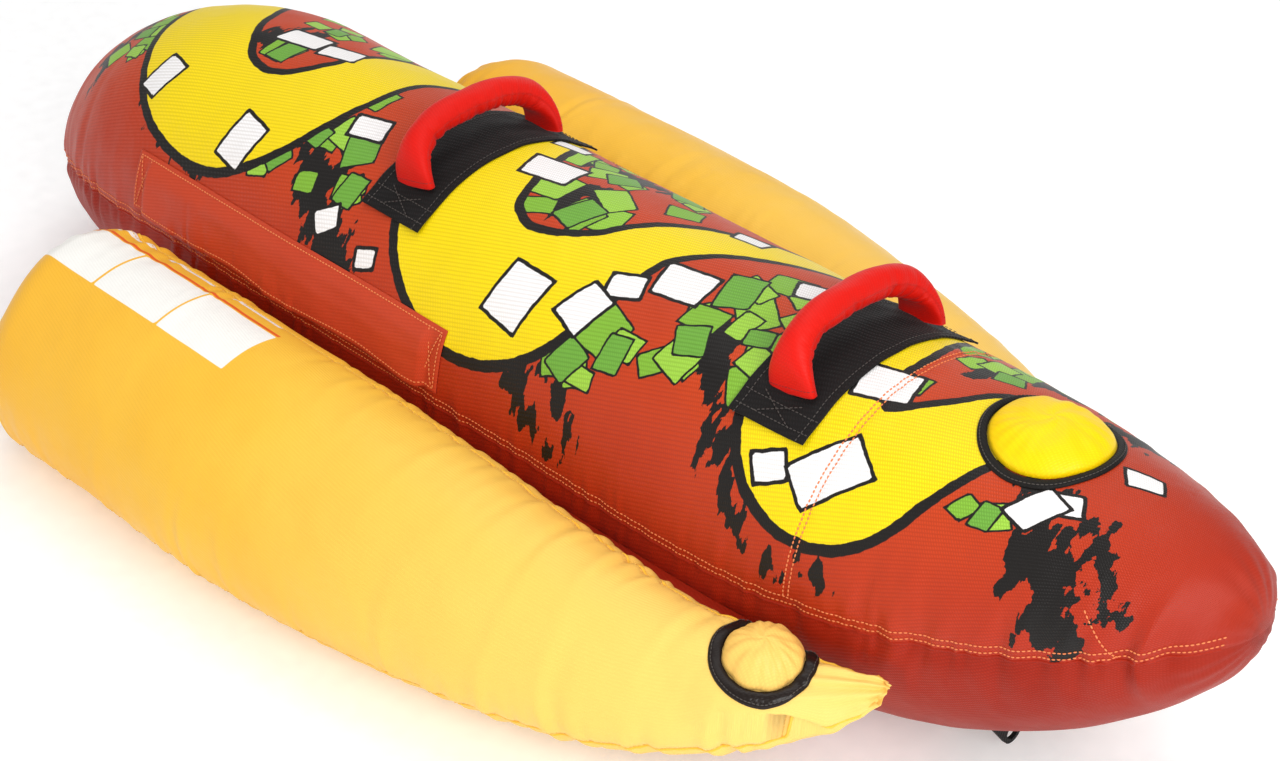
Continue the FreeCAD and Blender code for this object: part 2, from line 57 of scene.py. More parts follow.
CAMERA_AT = (-2.1276, -2.3357, 2.2754)
LOOK_AT = (0.0384, -0.0776, 0.2246)
lens = bpy.data.cameras.new("camera")
lens.lens = 74.49
lens.shift_x = 0.0102
lens.shift_y = -0.0087
camera = bpy.data.objects.new("camera", lens)
scene.collection.objects.link(camera)
camera.location = CAMERA_AT
camera.rotation_euler = (Vector(LOOK_AT) - Vector(CAMERA_AT)).to_track_quat("-Z", "Y").to_euler()
scene.camera = camera
scene.view_settings.view_transform = "Standard"

# --------------------------------------------------------- sizes and shapes

LENGTH = 2.300
RADIUS = 0.250
CROWN = 1.018
HALF_HEIGHT = RADIUS * CROWN
NOSE_LENGTH = 0.734
NOSE_RISE = 0.141
TAIL_LENGTH = 0.498
TAIL_DROP = 0.095
NOSE_ROOT = -LENGTH / 2 + NOSE_LENGTH
TAIL_ROOT = LENGTH / 2 - TAIL_LENGTH

BUN_FRONT = -0.792
BUN_REAR = 0.685
BUN_TAIL = 0.105
BUN_HALF = 0.178
BUN_TIP = 0.016
BUN_FLATNESS = 1.21
BUN_TILT = math.radians(52)
OUT = np.array([-math.cos(BUN_TILT), 0, -math.sin(BUN_TILT)])
UP = np.array([-math.sin(BUN_TILT), 0, math.cos(BUN_TILT)])

HOOP_SEAM = -0.640  # y of the stitched seam round the nose
GROUND_LIFT = 0.0004  # the lowest cloth above the ground
SIDES = ("right", "left")


def tube_profile(y):
    """Half width and middle height of the centre tube at y."""
    nose = np.clip((NOSE_ROOT - y) / NOSE_LENGTH, 0, 1)
    tail = np.clip((y - TAIL_ROOT) / TAIL_LENGTH, 0, 1)
    half = RADIUS * np.sqrt(np.clip(1 - np.maximum(nose, tail) ** 2, 0, 1))
    return half, HALF_HEIGHT + NOSE_RISE * nose**2 - TAIL_DROP * tail**2


def bun_profile(y):
    """Half width, half thickness and middle of the right side tube at y."""
    share = np.clip((y - BUN_FRONT) / (BUN_REAR - BUN_FRONT), 0, 1)
    swell = np.sin(np.pi / 2 * np.minimum(1, share / 0.7)) ** 0.62
    full = BUN_TIP + (BUN_HALF - BUN_TIP) * swell
    end = np.clip((y - (BUN_REAR - BUN_TAIL)) / BUN_TAIL, 0, 1)
    wide = full * (1 - end**2.5) ** (1 / 2.5)
    thick = full / BUN_FLATNESS * np.sqrt(1 - end**2)
    pinch = np.clip((y - BUN_FRONT) / 0.10, 0, 1)
    thick = thick * (0.06 + 0.94 * np.sin(np.pi / 2 * pinch) ** 0.8)
    reach = tube_profile(np.minimum(y, TAIL_ROOT))[0] + 0.95 * full + 0.006
    rise = 0.048 * np.maximum(0, 1 - share / 0.22) ** 2
    return wide, thick, np.stack([-reach, y, 0.167 + rise], -1)


# ------------------------------------------------------------- mesh helpers


def smoothstep(x):
    x = np.clip(x, 0, 1)
    return x * x * (3 - 2 * x)


def unit(vectors):
    return vectors / np.linalg.norm(vectors, axis=-1, keepdims=True)


def normals_of(points):
    """Outward unit normals of a grid of points, rows along the piece, columns across it."""
    n = np.cross(np.gradient(points, axis=0), np.gradient(points, axis=1))
    size = np.linalg.norm(n, axis=-1, keepdims=True)
    n = n / np.maximum(size, 1e-12)
    for end, beside in ((0, 1), (-1, -2)):
        if size[end].max() < 1e-6:
            n[end] = n[beside]
    return n


def grid_faces(rows, columns, drop=None, flip=False, wrap=False):
    """The quads of a grid, without those that drop marks."""
    index = np.arange(rows * columns).reshape(rows, columns)
    if wrap:
        index = np.concatenate([index, index[:, :1]], 1)
    quads = np.stack([index[:-1, :-1], index[1:, :-1], index[1:, 1:], index[:-1, 1:]], -1)
    quads = quads.reshape(-1, 4)
    if drop is not None:
        quads = quads[~drop.ravel()[quads].all(1)]
    return quads[:, ::-1] if flip else quads


def add_object(
    name, points, faces, material, body, fields=None, uv=None, merge=False, replaces=()
):
    """A smooth mesh that rides on a CAD body."""
    mesh = bpy.data.meshes.new(name)
    mesh.from_pydata(np.asarray(points).reshape(-1, 3).tolist(), [], np.asarray(faces).tolist())
    for key, values in (fields or {}).items():
        made = mesh.attributes.new(key, "FLOAT", "POINT")
        made.data.foreach_set("value", np.asarray(values, np.float32).ravel())
    if uv is not None:
        layer = mesh.uv_layers.new(name="cloth")
        corner = np.zeros(len(mesh.loops), np.int32)
        mesh.loops.foreach_get("vertex_index", corner)
        layer.data.foreach_set("uv", np.asarray(uv, np.float32).reshape(-1, 2)[corner].ravel())
    tidy = bmesh.new()
    tidy.from_mesh(mesh)
    if merge:
        bmesh.ops.remove_doubles(tidy, verts=tidy.verts, dist=1e-5)
    bmesh.ops.delete(tidy, geom=[v for v in tidy.verts if not v.link_faces], context="VERTS")
    tidy.to_mesh(mesh)
    tidy.free()
    mesh.shade_smooth()
    piece = bpy.data.objects.new(name, mesh)
    scene.collection.objects.link(piece)
    mesh.materials.append(material)
    if body:
        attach(piece, body)
    if replaces:
        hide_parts(*replaces)
    return piece


def thicken(piece, thickness):
    """Gives a sheet its thickness, inwards from its drawn side."""
    solid = piece.modifiers.new("thickness", "SOLIDIFY")
    solid.thickness = thickness
    solid.offset = -1.0
    solid.use_rim = True


def sample(grid, row, column):
    """Values of a grid between its points, by linear interpolation."""
    r = np.clip(row, 0, grid.shape[0] - 1.001)
    c = np.clip(column, 0, grid.shape[1] - 1.001)
    i, j = r.astype(int), c.astype(int)
    u, v = (r - i)[..., None], (c - j)[..., None]
    low = grid[i, j] * (1 - v) + grid[i, j + 1] * v
    high = grid[i + 1, j] * (1 - v) + grid[i + 1, j + 1] * v
    return low * (1 - u) + high * u


def ripples(points, seed, shortest, longest, count=28):
    """Smooth random undulation, about -1 to 1, with waves between two lengths."""
    rng = np.random.default_rng(seed)
    total = np.zeros(points.shape[:-1])
    for _ in range(count):
        way = rng.normal(size=3)
        way *= 2 * np.pi / rng.uniform(shortest, longest) / np.linalg.norm(way)
        total += np.cos(points @ way + rng.uniform(0, 2 * np.pi))
    return total / math.sqrt(count) / 1.4


def creases(seed, places, along, away, width, reach, height, lean=0.25):
    """Pinched folds that start at a seam: along it and away from it, in metres."""
    rng = random.Random(seed)
    total = np.zeros(along.shape)
    for place in places:
        wide = rng.uniform(*width)
        far = rng.uniform(*reach)
        tall = rng.uniform(*height) * rng.choice((1, 1, -1))
        slant = rng.uniform(-lean, lean)
        x = (along - place - slant * away) / (wide * (1 + 0.5 * away / far))
        near = (np.abs(x) < 5) & (away < 3 * far)
        xn, dn = x[near], away[near] / far
        total[near] += tall * (np.exp(-xn * xn) - 0.45 * np.exp(-xn * xn / 5)) * np.exp(-(dn**1.6))
    return total


def spread(seed, low, high, count):
    """Places along a seam, at random."""
    rng = random.Random(seed)
    return [rng.uniform(low, high) for _ in range(count)]


def spline(points, steps=24):
    """A smooth Catmull-Rom line through points with any number of columns."""
    p = np.array(points, float)
    p = np.vstack([2 * p[0] - p[1], p, 2 * p[-1] - p[-2]])
    t = np.linspace(0, 1, steps, endpoint=False)[:, None]
    line = []
    for a, b, c, d in zip(p[:-3], p[1:-2], p[2:-1], p[3:]):
        curve = 2 * b + (c - a) * t + (2 * a - 5 * b + 4 * c - d) * t**2 + (3 * b - a - 3 * c + d) * t**3
        line.append(0.5 * curve)
    return np.vstack(line + [p[-2:-1]])


# ---------------------------------------------------------------- materials


def srgb(red, green, blue):
    """A display colour, 0 to 255, as the linear colour that nodes take."""
    parts = [c / 255 for c in (red, green, blue)]
    return tuple(c / 12.92 if c < 0.04 else ((c + 0.055) / 1.055) ** 2.4 for c in parts) + (1.0,)


WEAVE_TURN = 0.785  # the threads run across the cloth's own axes


class Shade:
    """A node material while it is being built."""

    def __init__(self, name, roughness, specular=0.5, sheen=0.0, metallic=0.0):
        self.material = bpy.data.materials.new(name)
        self.material.use_nodes = True
        self.tree = self.material.node_tree
        self.bsdf = self.tree.nodes["Principled BSDF"]
        self.bsdf.inputs["Roughness"].default_value = roughness
        self.bsdf.inputs["Specular IOR Level"].default_value = specular
        self.bsdf.inputs["Sheen Weight"].default_value = sheen
        self.bsdf.inputs["Sheen Roughness"].default_value = 0.4
        self.bsdf.inputs["Metallic"].default_value = metallic
        self.coordinates = self.tree.nodes.new("ShaderNodeTexCoord")

    def wire(self, socket, value):
        if isinstance(value, bpy.types.NodeSocket):
            self.tree.links.new(value, socket)
        else:
            socket.default_value = value

    def maths(self, operation, a, b=0.0):
        node = self.tree.nodes.new("ShaderNodeMath")
        node.operation = operation
        self.wire(node.inputs[0], a)
        self.wire(node.inputs[1], b)
        return node.outputs[0]

    def mix(self, factor, a, b, blend="MIX"):
        node = self.tree.nodes.new("ShaderNodeMix")
        node.data_type = "RGBA"
        node.blend_type = blend
        self.wire(node.inputs[0], factor)
        self.wire(node.inputs[6], a)
        self.wire(node.inputs[7], b)
        return node.outputs[2]

    def range(self, value, low, high, to_low=0.0, to_high=1.0):
        node = self.tree.nodes.new("ShaderNodeMapRange")
        for index, setting in enumerate((value, low, high, to_low, to_high)):
            self.wire(node.inputs[index], setting)
        return node.outputs[0]

    def noise(self, scale, detail=3.0, where="Object", stretch=None):
        vector = self.coordinates.outputs[where]
        if stretch:
            mapping = self.tree.nodes.new("ShaderNodeMapping")
            mapping.inputs["Scale"].default_value = stretch
            self.wire(mapping.inputs["Vector"], vector)
            vector = mapping.outputs[0]
        node = self.tree.nodes.new("ShaderNodeTexNoise")
        self.wire(node.inputs["Vector"], vector)
        node.inputs["Scale"].default_value = scale
        node.inputs["Detail"].default_value = detail
        return node.outputs["Fac"]

    def cloth_axes(self):
        """The cloth's own coordinates in metres: round the tube and along it."""
        split = self.tree.nodes.new("ShaderNodeSeparateXYZ")
        self.wire(split.inputs[0], self.coordinates.outputs["UV"])
        return split.outputs[0], split.outputs[1]

    def attribute(self, name):
        node = self.tree.nodes.new("ShaderNodeAttribute")
        node.attribute_name = name
        return node.outputs["Fac"]

    def weave(self, period, where):
        """Height of a plain weave with that thread spacing."""
        mapping = self.tree.nodes.new("ShaderNodeMapping")
        mapping.inputs["Rotation"].default_value = (WEAVE_TURN, WEAVE_TURN, WEAVE_TURN)
        self.wire(mapping.inputs["Vector"], self.coordinates.outputs[where])
        bands = []
        for direction in ("X", "Y"):
            wave = self.tree.nodes.new("ShaderNodeTexWave")
            wave.bands_direction = direction
            wave.inputs["Scale"].default_value = math.pi / 10 / period
            wave.inputs["Distortion"].default_value = 0.6
            wave.inputs["Detail Scale"].default_value = 0.3
            self.wire(wave.inputs["Vector"], mapping.outputs[0])
            bands.append(wave.outputs["Fac"])
        return self.maths("MULTIPLY", *bands)

    def bump(self, height, strength, distance, under=None):
        node = self.tree.nodes.new("ShaderNodeBump")
        node.inputs["Strength"].default_value = strength
        node.inputs["Distance"].default_value = distance
        self.wire(node.inputs["Height"], height)
        if under is not None:
            self.wire(node.inputs["Normal"], under)
        return node.outputs["Normal"]

    def finish(self, colour, normal=None, roughness=None):
        self.wire(self.bsdf.inputs["Base Color"], colour)
        if normal is not None:
            self.wire(self.bsdf.inputs["Normal"], normal)
        if roughness is not None:
            self.wire(self.bsdf.inputs["Roughness"], roughness)
        return self.material


def cloth(
    name, colour, other, period=0.0024, depth=0.0003, rough=0.5, sheen=0.02, where="UV",
    paint=None, grain=0.10, gloss_level=0.18,
):
    """Woven fabric: blotchy colour, threads, soft crumples, worn gloss."""
    shade = Shade(name, rough, specular=gloss_level, sheen=sheen)
    base = shade.mix(shade.noise(4.5, 4), colour, other)
    if paint:
        base = paint(shade, base)
    threads = shade.weave(period, where)
    darker = shade.mix(1.0, base, srgb(205, 200, 195), "MULTIPLY")
    base = shade.mix(shade.range(threads, 0, 0.5, grain * 2.5, 0), base, darker)
    soft = shade.bump(shade.noise(9, 3), 0.30, 0.010)
    crumple = shade.bump(shade.noise(34, 5), 0.30, 0.004, soft)
    normal = shade.bump(threads, 0.7, depth, crumple)
    gloss = shade.range(shade.noise(9, 3), 0.3, 0.7, rough - 0.07, rough + 0.07)
    return shade.finish(base, normal, gloss)


BLACK = srgb(22, 18, 16)
NYLON_RED = srgb(212, 74, 22)
NYLON_DEEP = srgb(186, 52, 16)
# painted shade: a deeper red that stands for the shade on the tube's sides and at its nose
NYLON_PAINTED_SHADE = srgb(172, 38, 14)
PANEL_RED = srgb(176, 42, 14)
PANEL_DEEP = srgb(142, 26, 8)
MUSTARD = srgb(252, 222, 0)
RELISH = (srgb(150, 203, 62), srgb(132, 186, 56), srgb(160, 210, 70), srgb(112, 172, 62))
ONION = srgb(252, 250, 250)
BUN_LIGHT = srgb(250, 203, 76)
BUN_DEEP = srgb(243, 182, 48)
GRIP_RED = srgb(228, 24, 8)
GRIP_DEEP = srgb(206, 14, 5)


def paint_print(shade, base):
    """Painted shade towards the sides and the nose, then the printed pattern: a fill and an outline for each
    layer, from its distance field.
    """
    around, along = shade.cloth_axes()
    # painted shade: darker towards the equator seams on both sides, where the tube turns away from the lamps
    low = shade.range(shade.maths("ABSOLUTE", around), 0.16, 0.39, 0, 0.7)
    base = shade.mix(low, base, NYLON_PAINTED_SHADE)
    # painted shade: darker towards the rounded nose tip
    nose = shade.range(along, -1.10, -0.80, 0.85, 0)
    base = shade.mix(nose, base, NYLON_PAINTED_SHADE)
    edge = shade.attribute("char")
    streaks = shade.noise(34, 6, "UV", (0.5, 1.25, 1))
    ragged = shade.maths("MULTIPLY", shade.maths("SUBTRACT", streaks, 0.5), 0.18)
    field = shade.maths("ADD", edge, ragged)
    base = shade.mix(shade.range(field, 0.0, 0.0008, 1, 0), base, BLACK)
    layers = [(f"relish_{k}", RELISH[k], 0.0028) for k in range(4)]
    layers += [("mustard", MUSTARD, 0.0125), ("onion_0", ONION, 0.0052), ("onion_1", ONION, 0.0048)]
    for key, colour, outline in layers:
        wobble = shade.maths("MULTIPLY", shade.maths("SUBTRACT", shade.noise(60, 2), 0.5), 0.004)
        distance = shade.maths("ADD", shade.attribute(key), wobble)
        base = shade.mix(shade.range(distance, outline, outline + 0.0008, 1, 0), base, BLACK)
        base = shade.mix(shade.range(distance, -0.0004, 0.0004, 1, 0), base, colour)
    return base


def paint_labels(shade, base):
    """Painted light, paler towards the front, and painted shade, deeper towards the rear, then blank labels
    and a stripe above them.
    """
    _, along = shade.cloth_axes()
    # painted light: paler yellow towards the front; painted shade: deeper orange-yellow towards the rear
    pale = shade.range(along, 0.1, -0.75, 0, 0.75)
    deep = shade.range(along, 0.1, 0.7, 0, 0.6)
    base = shade.mix(pale, base, srgb(252, 214, 124))
    base = shade.mix(deep, base, srgb(244, 176, 44))
    stripe = shade.range(shade.attribute("stripe"), -0.0005, 0.0005, 1, 0)
    label = shade.range(shade.attribute("label"), -0.0005, 0.0005, 1, 0)
    base = shade.mix(stripe, base, srgb(232, 96, 32))
    return shade.mix(label, base, srgb(247, 245, 240))


def plastic(name, colour, rough, specular=0.5, metallic=0.0):
    """Moulded plastic, rubber or metal with fine scuffs."""
    shade = Shade(name, rough, specular, metallic=metallic)
    darker = tuple(0.82 * c for c in colour[:3]) + (1.0,)
    base = shade.mix(shade.noise(40, 4), colour, darker)
    normal = shade.bump(shade.noise(900, 2), 0.12, 0.0004)
    gloss = shade.range(shade.noise(60, 4), 0.3, 0.7, max(0.05, rough - 0.08), rough + 0.08)
    return shade.finish(base, normal, gloss)


tube_cloth = cloth(
    "printed_nylon", NYLON_RED, NYLON_DEEP, 0.0030, 0.0005, 0.44,
    paint=paint_print, grain=0.22, gloss_level=0.26,
)
panel_cloth = cloth("bottom_nylon", PANEL_RED, PANEL_DEEP, 0.0030, 0.0005, 0.5, grain=0.22)
bun_cloth = cloth("bun_nylon", BUN_LIGHT, BUN_DEEP, paint=paint_labels, rough=0.42, grain=0.06)
welt_cloth = cloth("bun_welt", BUN_LIGHT, BUN_DEEP, where="Object", rough=0.42, grain=0.06)
web_cloth = cloth("gusset_nylon", PANEL_RED, PANEL_DEEP, where="Object")
guard_cloth = cloth(
    "guard_cordura", srgb(30, 27, 27), srgb(18, 16, 16), 0.0036, 0.0009, 0.72, 0.05, grain=0.3
)
strap_cloth = cloth(
    "black_webbing", srgb(30, 28, 28), srgb(18, 17, 17), 0.0030, 0.0009, 0.7, 0.05, "Object", grain=0.3
)
grip_cloth = cloth("grip_nylon", GRIP_RED, GRIP_DEEP, 0.0020, 0.0003, 0.5, 0.05, grain=0.08)
flap_cloth = cloth("nose_flap_nylon", srgb(255, 226, 0), srgb(250, 196, 0), rough=0.45, grain=0.08)
bun_flap_cloth = cloth("bun_flap_nylon", srgb(252, 208, 110), srgb(246, 190, 92), rough=0.45, grain=0.08)
ring_cloth = cloth("ring_binding", srgb(30, 27, 25), srgb(18, 16, 15), 0.0020, 0.0004, 0.6, 0.05, grain=0.2)
bun_ring_cloth = cloth(
    "bun_ring_vinyl", srgb(38, 30, 27), srgb(24, 19, 17), 0.0030, 0.0002, 0.3, 0.0, grain=0.1
)
pvc = plastic("bladder_pvc", srgb(96, 116, 150), 0.35)
valve_plastic = plastic("valve_white_plastic", srgb(222, 220, 212), 0.38)
cap_plastic = plastic("valve_cap_plastic", srgb(40, 60, 120), 0.35)
seal_rubber = plastic("seal_rubber", srgb(30, 30, 30), 0.7)
zip_plastic = plastic("zip_coil_plastic", srgb(26, 24, 24), 0.5)
slider_metal = plastic("slider_plated_metal", srgb(200, 200, 200), 0.25, metallic=1.0)
thread_orange = plastic("thread_orange", srgb(238, 134, 78), 0.6)
thread_dark = plastic("thread_dark", srgb(70, 64, 60), 0.6)
thread_yellow = plastic("thread_yellow", srgb(236, 186, 88), 0.6)
thread_red = plastic("thread_red", srgb(170, 20, 12), 0.6)

# -------------------------------------------------------------- centre tube

GRID = 0.0042


def tube_rows():
    """y of the grid rows: even along the straight, and round the two elliptical ends."""
    turn = np.linspace(np.pi / 2, 0, 190, endpoint=False)
    straight = np.linspace(NOSE_ROOT, TAIL_ROOT, int((TAIL_ROOT - NOSE_ROOT) / GRID), endpoint=False)
    back = np.linspace(0, np.pi / 2, 140)
    return np.concatenate(
        [NOSE_ROOT - NOSE_LENGTH * np.sin(turn), straight, TAIL_ROOT + TAIL_LENGTH * np.sin(back)]
    )


ROWS_Y = tube_rows()


def tube_grid(low, high, columns):
    """Points of the tube between two angles from the top, positive towards -X, with their angles."""
    angle = np.linspace(math.radians(low), math.radians(high), columns)
    y, a = np.meshgrid(ROWS_Y, angle, indexing="ij")
    half, middle = tube_profile(y)
    points = np.stack([-half * np.sin(a), y, middle + CROWN * half * np.cos(a)], -1)
    return points, y, a, half


def tube_relief(points, y, a, half, top):
    """How far the inflated cover stands out or in, in metres."""
    relief = 0.0016 * ripples(points, 3, 0.16, 0.5) + 0.0005 * ripples(points, 4, 0.05, 0.12)
    # the lower panel takes both of its seams in one go
    for way in (1, -1) if top else (1,):
        seam = np.abs(a - way * np.pi / 2) if top else np.abs(np.abs(a - np.pi) - np.pi / 2)
        away = seam * half
        relief -= 0.0045 * np.exp(-((away / 0.016) ** 2))
        puckers = spread(11 + way, -1.12, 1.12, 130) + spread(13 + way, -1.12, -0.62, 60)
        puckers += spread(15 + way, 0.75, 1.1, 26)
        side = np.where(np.sign(-points[..., 0]) == way, 1.0, 0.0) if top else 1.0
        relief += side * creases(21 + way, puckers, y, away, (0.004, 0.011), (0.014, 0.07), (0.0010, 0.0036))
        if top:
            long_folds = spread(31 + way, -1.05, -0.68, 12) + spread(32 + way, 0.7, 1.05, 8)
            deep = creases(33 + way, long_folds, y, away, (0.006, 0.013), (0.07, 0.17), (0.0018, 0.0038))
            relief += side * deep
    # the seam round the nose, with its own small puckers
    hoop = np.abs(y - HOOP_SEAM)
    relief -= 0.0020 * np.exp(-((hoop / 0.005) ** 2))
    puckers = spread(42, -1.6, 1.6, 90)
    relief += creases(41, puckers, a, hoop * 4, (0.012, 0.03), (0.05, 0.2), (0.0004, 0.0014))
    # pleats that gather towards the two ends
    for end, count, seed in ((-LENGTH / 2, 15, 51), (LENGTH / 2, 13, 52)):
        q = smoothstep(1 - np.abs(y - end) / 0.085)
        relief += 0.0014 * q * np.sin(count * a + 1.7 * np.sin(3 * a + seed)) * np.minimum(1, half / 0.04)
    return relief * smoothstep(half / 0.10)


# The pattern is drawn in y (metres) and in degrees from the top; widths are in millimetres.
MUSTARD_LINE = (
    (0.98, -74, 42), (0.91, -46, 56), (0.81, -12, 74), (0.755, 14, 86), (0.675, 33, 88),
    (0.575, 38, 84), (0.490, 28, 72), (0.440, 8, 62), (0.425, -14, 56), (0.375, -38, 50),
    (0.290, -50, 48), (0.205, -42, 52), (0.150, -18, 62), (0.118, 8, 72), (0.085, 32, 88),
    (0.000, 45, 97), (-0.090, 41, 88), (-0.160, 24, 58), (-0.195, 6, 40), (-0.245, -8, 36),
    (-0.320, -24, 38), (-0.395, -42, 44), (-0.475, -52, 48), (-0.540, -36, 50), (-0.565, -8, 56),
    (-0.562, 16, 66), (-0.585, 36, 90), (-0.650, 44, 96), (-0.705, 34, 72), (-0.760, 16, 56),
    (-0.800, 3, 60), (-0.840, 0, 66),
)
CHAR_LINES = (
    ((0.73, 48, 10), (0.64, 58, 16), (0.55, 62, 8)),
    ((0.385, 28, 26), (0.33, 44, 36), (0.25, 60, 34), (0.215, 68, 16)),
    ((-0.13, 67, 14), (-0.19, 74, 10), (-0.23, 79, 4)),
    ((-0.19, 60, 12), (-0.245, 68, 9), (-0.25, 76, 5)),
    ((-0.465, 30, 16), (-0.475, 48, 18), (-0.52, 64, 15), (-0.56, 73, 8)),
    ((-0.61, 74, 6), (-0.625, 80, 5)),
    ((-0.67, 74, 5), (-0.69, 80, 4)),
    ((-0.885, 24, 22), (-0.92, 42, 30), (-0.955, 62, 32), (-0.985, 84, 24)),
    ((-0.965, 26, 8), (-0.995, 44, 14), (-1.020, 66, 12)),
    ((-0.40, 24, 26), (-0.435, 38, 18)),
    ((-0.03, 4, 30), (-0.07, 14, 22)),
    ((0.03, -22, 22), (-0.08, -30, 18)),
    ((-0.69, -14, 16), (-0.74, -30, 20), (-0.80, -40, 12)),
    ((0.60, -6, 26), (0.66, 4, 14)),
    ((0.62, -46, 22), (0.55, -64, 26), (0.52, -78, 12)),
    ((-0.12, -58, 22), (-0.20, -70, 26), (-0.24, -80, 10)),
    ((-0.88, -30, 24), (-0.93, -52, 34), (-0.96, -76, 20)),
    ((0.93, 10, 12), (0.95, 30, 16), (0.93, 48, 8)),
)
# y, angle, how many, spread along y, spread round
RELISH_HEAPS = (
    (0.345, 27, 10, 0.050, 0.050), (0.285, 40, 5, 0.035, 0.030), (0.405, 12, 3, 0.03, 0.03),
    (-0.030, 4, 7, 0.060, 0.040), (0.020, -20, 6, 0.060, 0.035), (-0.105, -26, 7, 0.055, 0.035),
    (-0.215, 53, 4, 0.025, 0.022), (-0.275, 40, 5, 0.035, 0.030), (-0.345, 31, 6, 0.040, 0.035),
    (-0.390, 14, 9, 0.045, 0.045), (-0.435, 0, 8, 0.045, 0.040), (-0.455, 24, 5, 0.025, 0.035),
    (-0.835, 37, 3, 0.030, 0.016), (-0.625, 6, 3, 0.02, 0.02), (0.875, 24, 8, 0.045, 0.050),
    (0.600, 2, 6, 0.050, 0.030), (0.590, -24, 8, 0.070, 0.040), (0.880, -12, 5, 0.04, 0.03),
    (-0.680, -22, 7, 0.045, 0.040), (-0.740, -42, 6, 0.050, 0.030), (-0.290, -52, 7, 0.050, 0.035),
    (0.330, -72, 6, 0.060, 0.025), (0.240, -16, 5, 0.03, 0.04), (0.430, 46, 2, 0.02, 0.015),
)
# y, angle, half length, half width (mm), turn in degrees
ONIONS = (
    (0.515, 44, 36, 29, 78), (0.745, 36, 34, 22, 70), (0.600, -4, 36, 20, 10), (0.520, -6, 34, 18, 20),
    (0.330, 18, 30, 20, 15), (0.285, 52, 20, 15, 35), (0.045, -3, 40, 26, 12), (0.095, -24, 26, 16, 20),
    (-0.085, 44, 43, 34, 80), (-0.190, 37, 34, 25, 68), (-0.222, 24, 24, 18, 20), (-0.290, 14, 38, 27, 8),
    (-0.260, -22, 24, 15, 12), (-0.435, -8, 30, 18, 25), (-0.565, 51, 22, 18, 30), (-0.640, 45, 44, 34, 50),
    (-0.628, 12, 38, 27, 15), (-0.895, 30, 32, 20, 60), (-0.915, 25, 26, 18, 20), (-0.965, -4, 24, 18, 30),
    (0.300, -48, 34, 26, 35), (-0.480, -50, 32, 24, 55), (0.820, -34, 34, 24, 15), (-0.15, -60, 28, 20, 25),
    (0.190, 57, 18, 12, 20), (-0.450, -66, 26, 20, 15), (0.450, -60, 26, 18, 65),
)


def stroke_field(y, s, line):
    """Distance in metres from the edge of a brush stroke, negative inside it."""
    path = spline([(p[0], math.radians(p[1]) * RADIUS, p[2] / 1000) for p in line], 14)
    field = np.full(y.shape, 0.1)
    reach = path[:, 2].max() + 0.05
    near = np.ones(y.shape, bool)
    for axis, low, high in ((y, path[:, 0].min(), path[:, 0].max()), (s, path[:, 1].min(), path[:, 1].max())):
        near &= (axis > low - reach) & (axis < high + reach)
    yy, ss = y[near], s[near]
    best = np.full(yy.shape, 0.1)
    for py, ps, half in path:
        best = np.minimum(best, np.hypot(yy - py, ss - ps) - half)
    field[near] = best
    return field


def chip(y, s, centre, half_long, half_wide, turn, seed):
    """Distance field of one hand-cut four-sided chip, negative inside it."""
    rng = random.Random(seed)
    c, d = math.cos(turn), math.sin(turn)
    corners = []
    for u, v in ((-1, -1), (1, -1), (1, 1), (-1, 1)):
        u *= half_long * rng.uniform(0.84, 1.12)
        v *= half_wide * rng.uniform(0.84, 1.12)
        corners.append((centre[0] + u * c - v * d, centre[1] + u * d + v * c))
    field = np.full(y.shape, 0.05)
    near = np.hypot(y - centre[0], s - centre[1]) < 1.6 * math.hypot(half_long, half_wide) + 0.012
    yy, ss = y[near], s[near]
    depth = np.full(yy.shape, -1.0)
    for (y0, s0), (y1, s1) in zip(corners, corners[1:] + corners[:1]):
        length = math.hypot(y1 - y0, s1 - s0)
        depth = np.maximum(depth, ((yy - y0) * (s1 - s0) - (ss - s0) * (y1 - y0)) / length)
    field[near] = depth
    return field


def print_fields(y, a):
    """The distance fields of every printed layer over the upper panel."""
    s = a * RADIUS
    far = np.full(y.shape, 0.05)
    fields = {"mustard": stroke_field(y, s, MUSTARD_LINE), "char": np.full(y.shape, 0.1)}
    for line in CHAR_LINES:
        fields["char"] = np.minimum(fields["char"], stroke_field(y, s, line))
    fields["mustard"] *= 1 - 0.22 * np.clip(s / 0.3, 0, 1)
    placed = [[] for _ in range(4)]
    for k in range(4):
        fields[f"relish_{k}"] = far.copy()
    rng = random.Random(8)
    for heap_y, heap_angle, count, along, round_ in RELISH_HEAPS:
        for _ in range(count):
            chip_y = heap_y + rng.gauss(0, along * 0.62)
            centre = (chip_y, math.radians(heap_angle) * RADIUS + rng.gauss(0, round_ * 0.62))
            half_long = rng.uniform(0.016, 0.031)
            half_wide = half_long * rng.uniform(0.6, 0.95)
            turn = rng.uniform(0, math.pi)
            order = rng.sample(range(4), 4)
            for k in order:
                if all(math.dist(centre, c) > half_long + r + 0.012 for c, r in placed[k]):
                    placed[k].append((centre, half_long))
                    made = chip(y, s, centre, half_long, half_wide, turn, rng.random())
                    fields[f"relish_{k}"] = np.minimum(fields[f"relish_{k}"], made)
                    break
    fields["onion_0"], fields["onion_1"] = far.copy(), far.copy()
    for number, (chip_y, angle, long_mm, wide_mm, turn) in enumerate(ONIONS):
        centre = (chip_y, math.radians(angle) * RADIUS)
        made = chip(y, s, centre, long_mm / 1000, wide_mm / 1000, math.radians(turn), number)
        key = f"onion_{number % 2}"
        fields[key] = np.minimum(fields[key], made)
    return fields


NOSE_VALVE = Vector((0, -0.838, 0.5093))
NOSE_MOUTH = 0.062
BUN_MOUTH = 0.040
BUN_VALVE = Vector((-0.3051, -0.672, 0.2533))
BUN_VALVE_AXIS = Vector((-0.1283, -0.1289, 0.9833)).normalized()


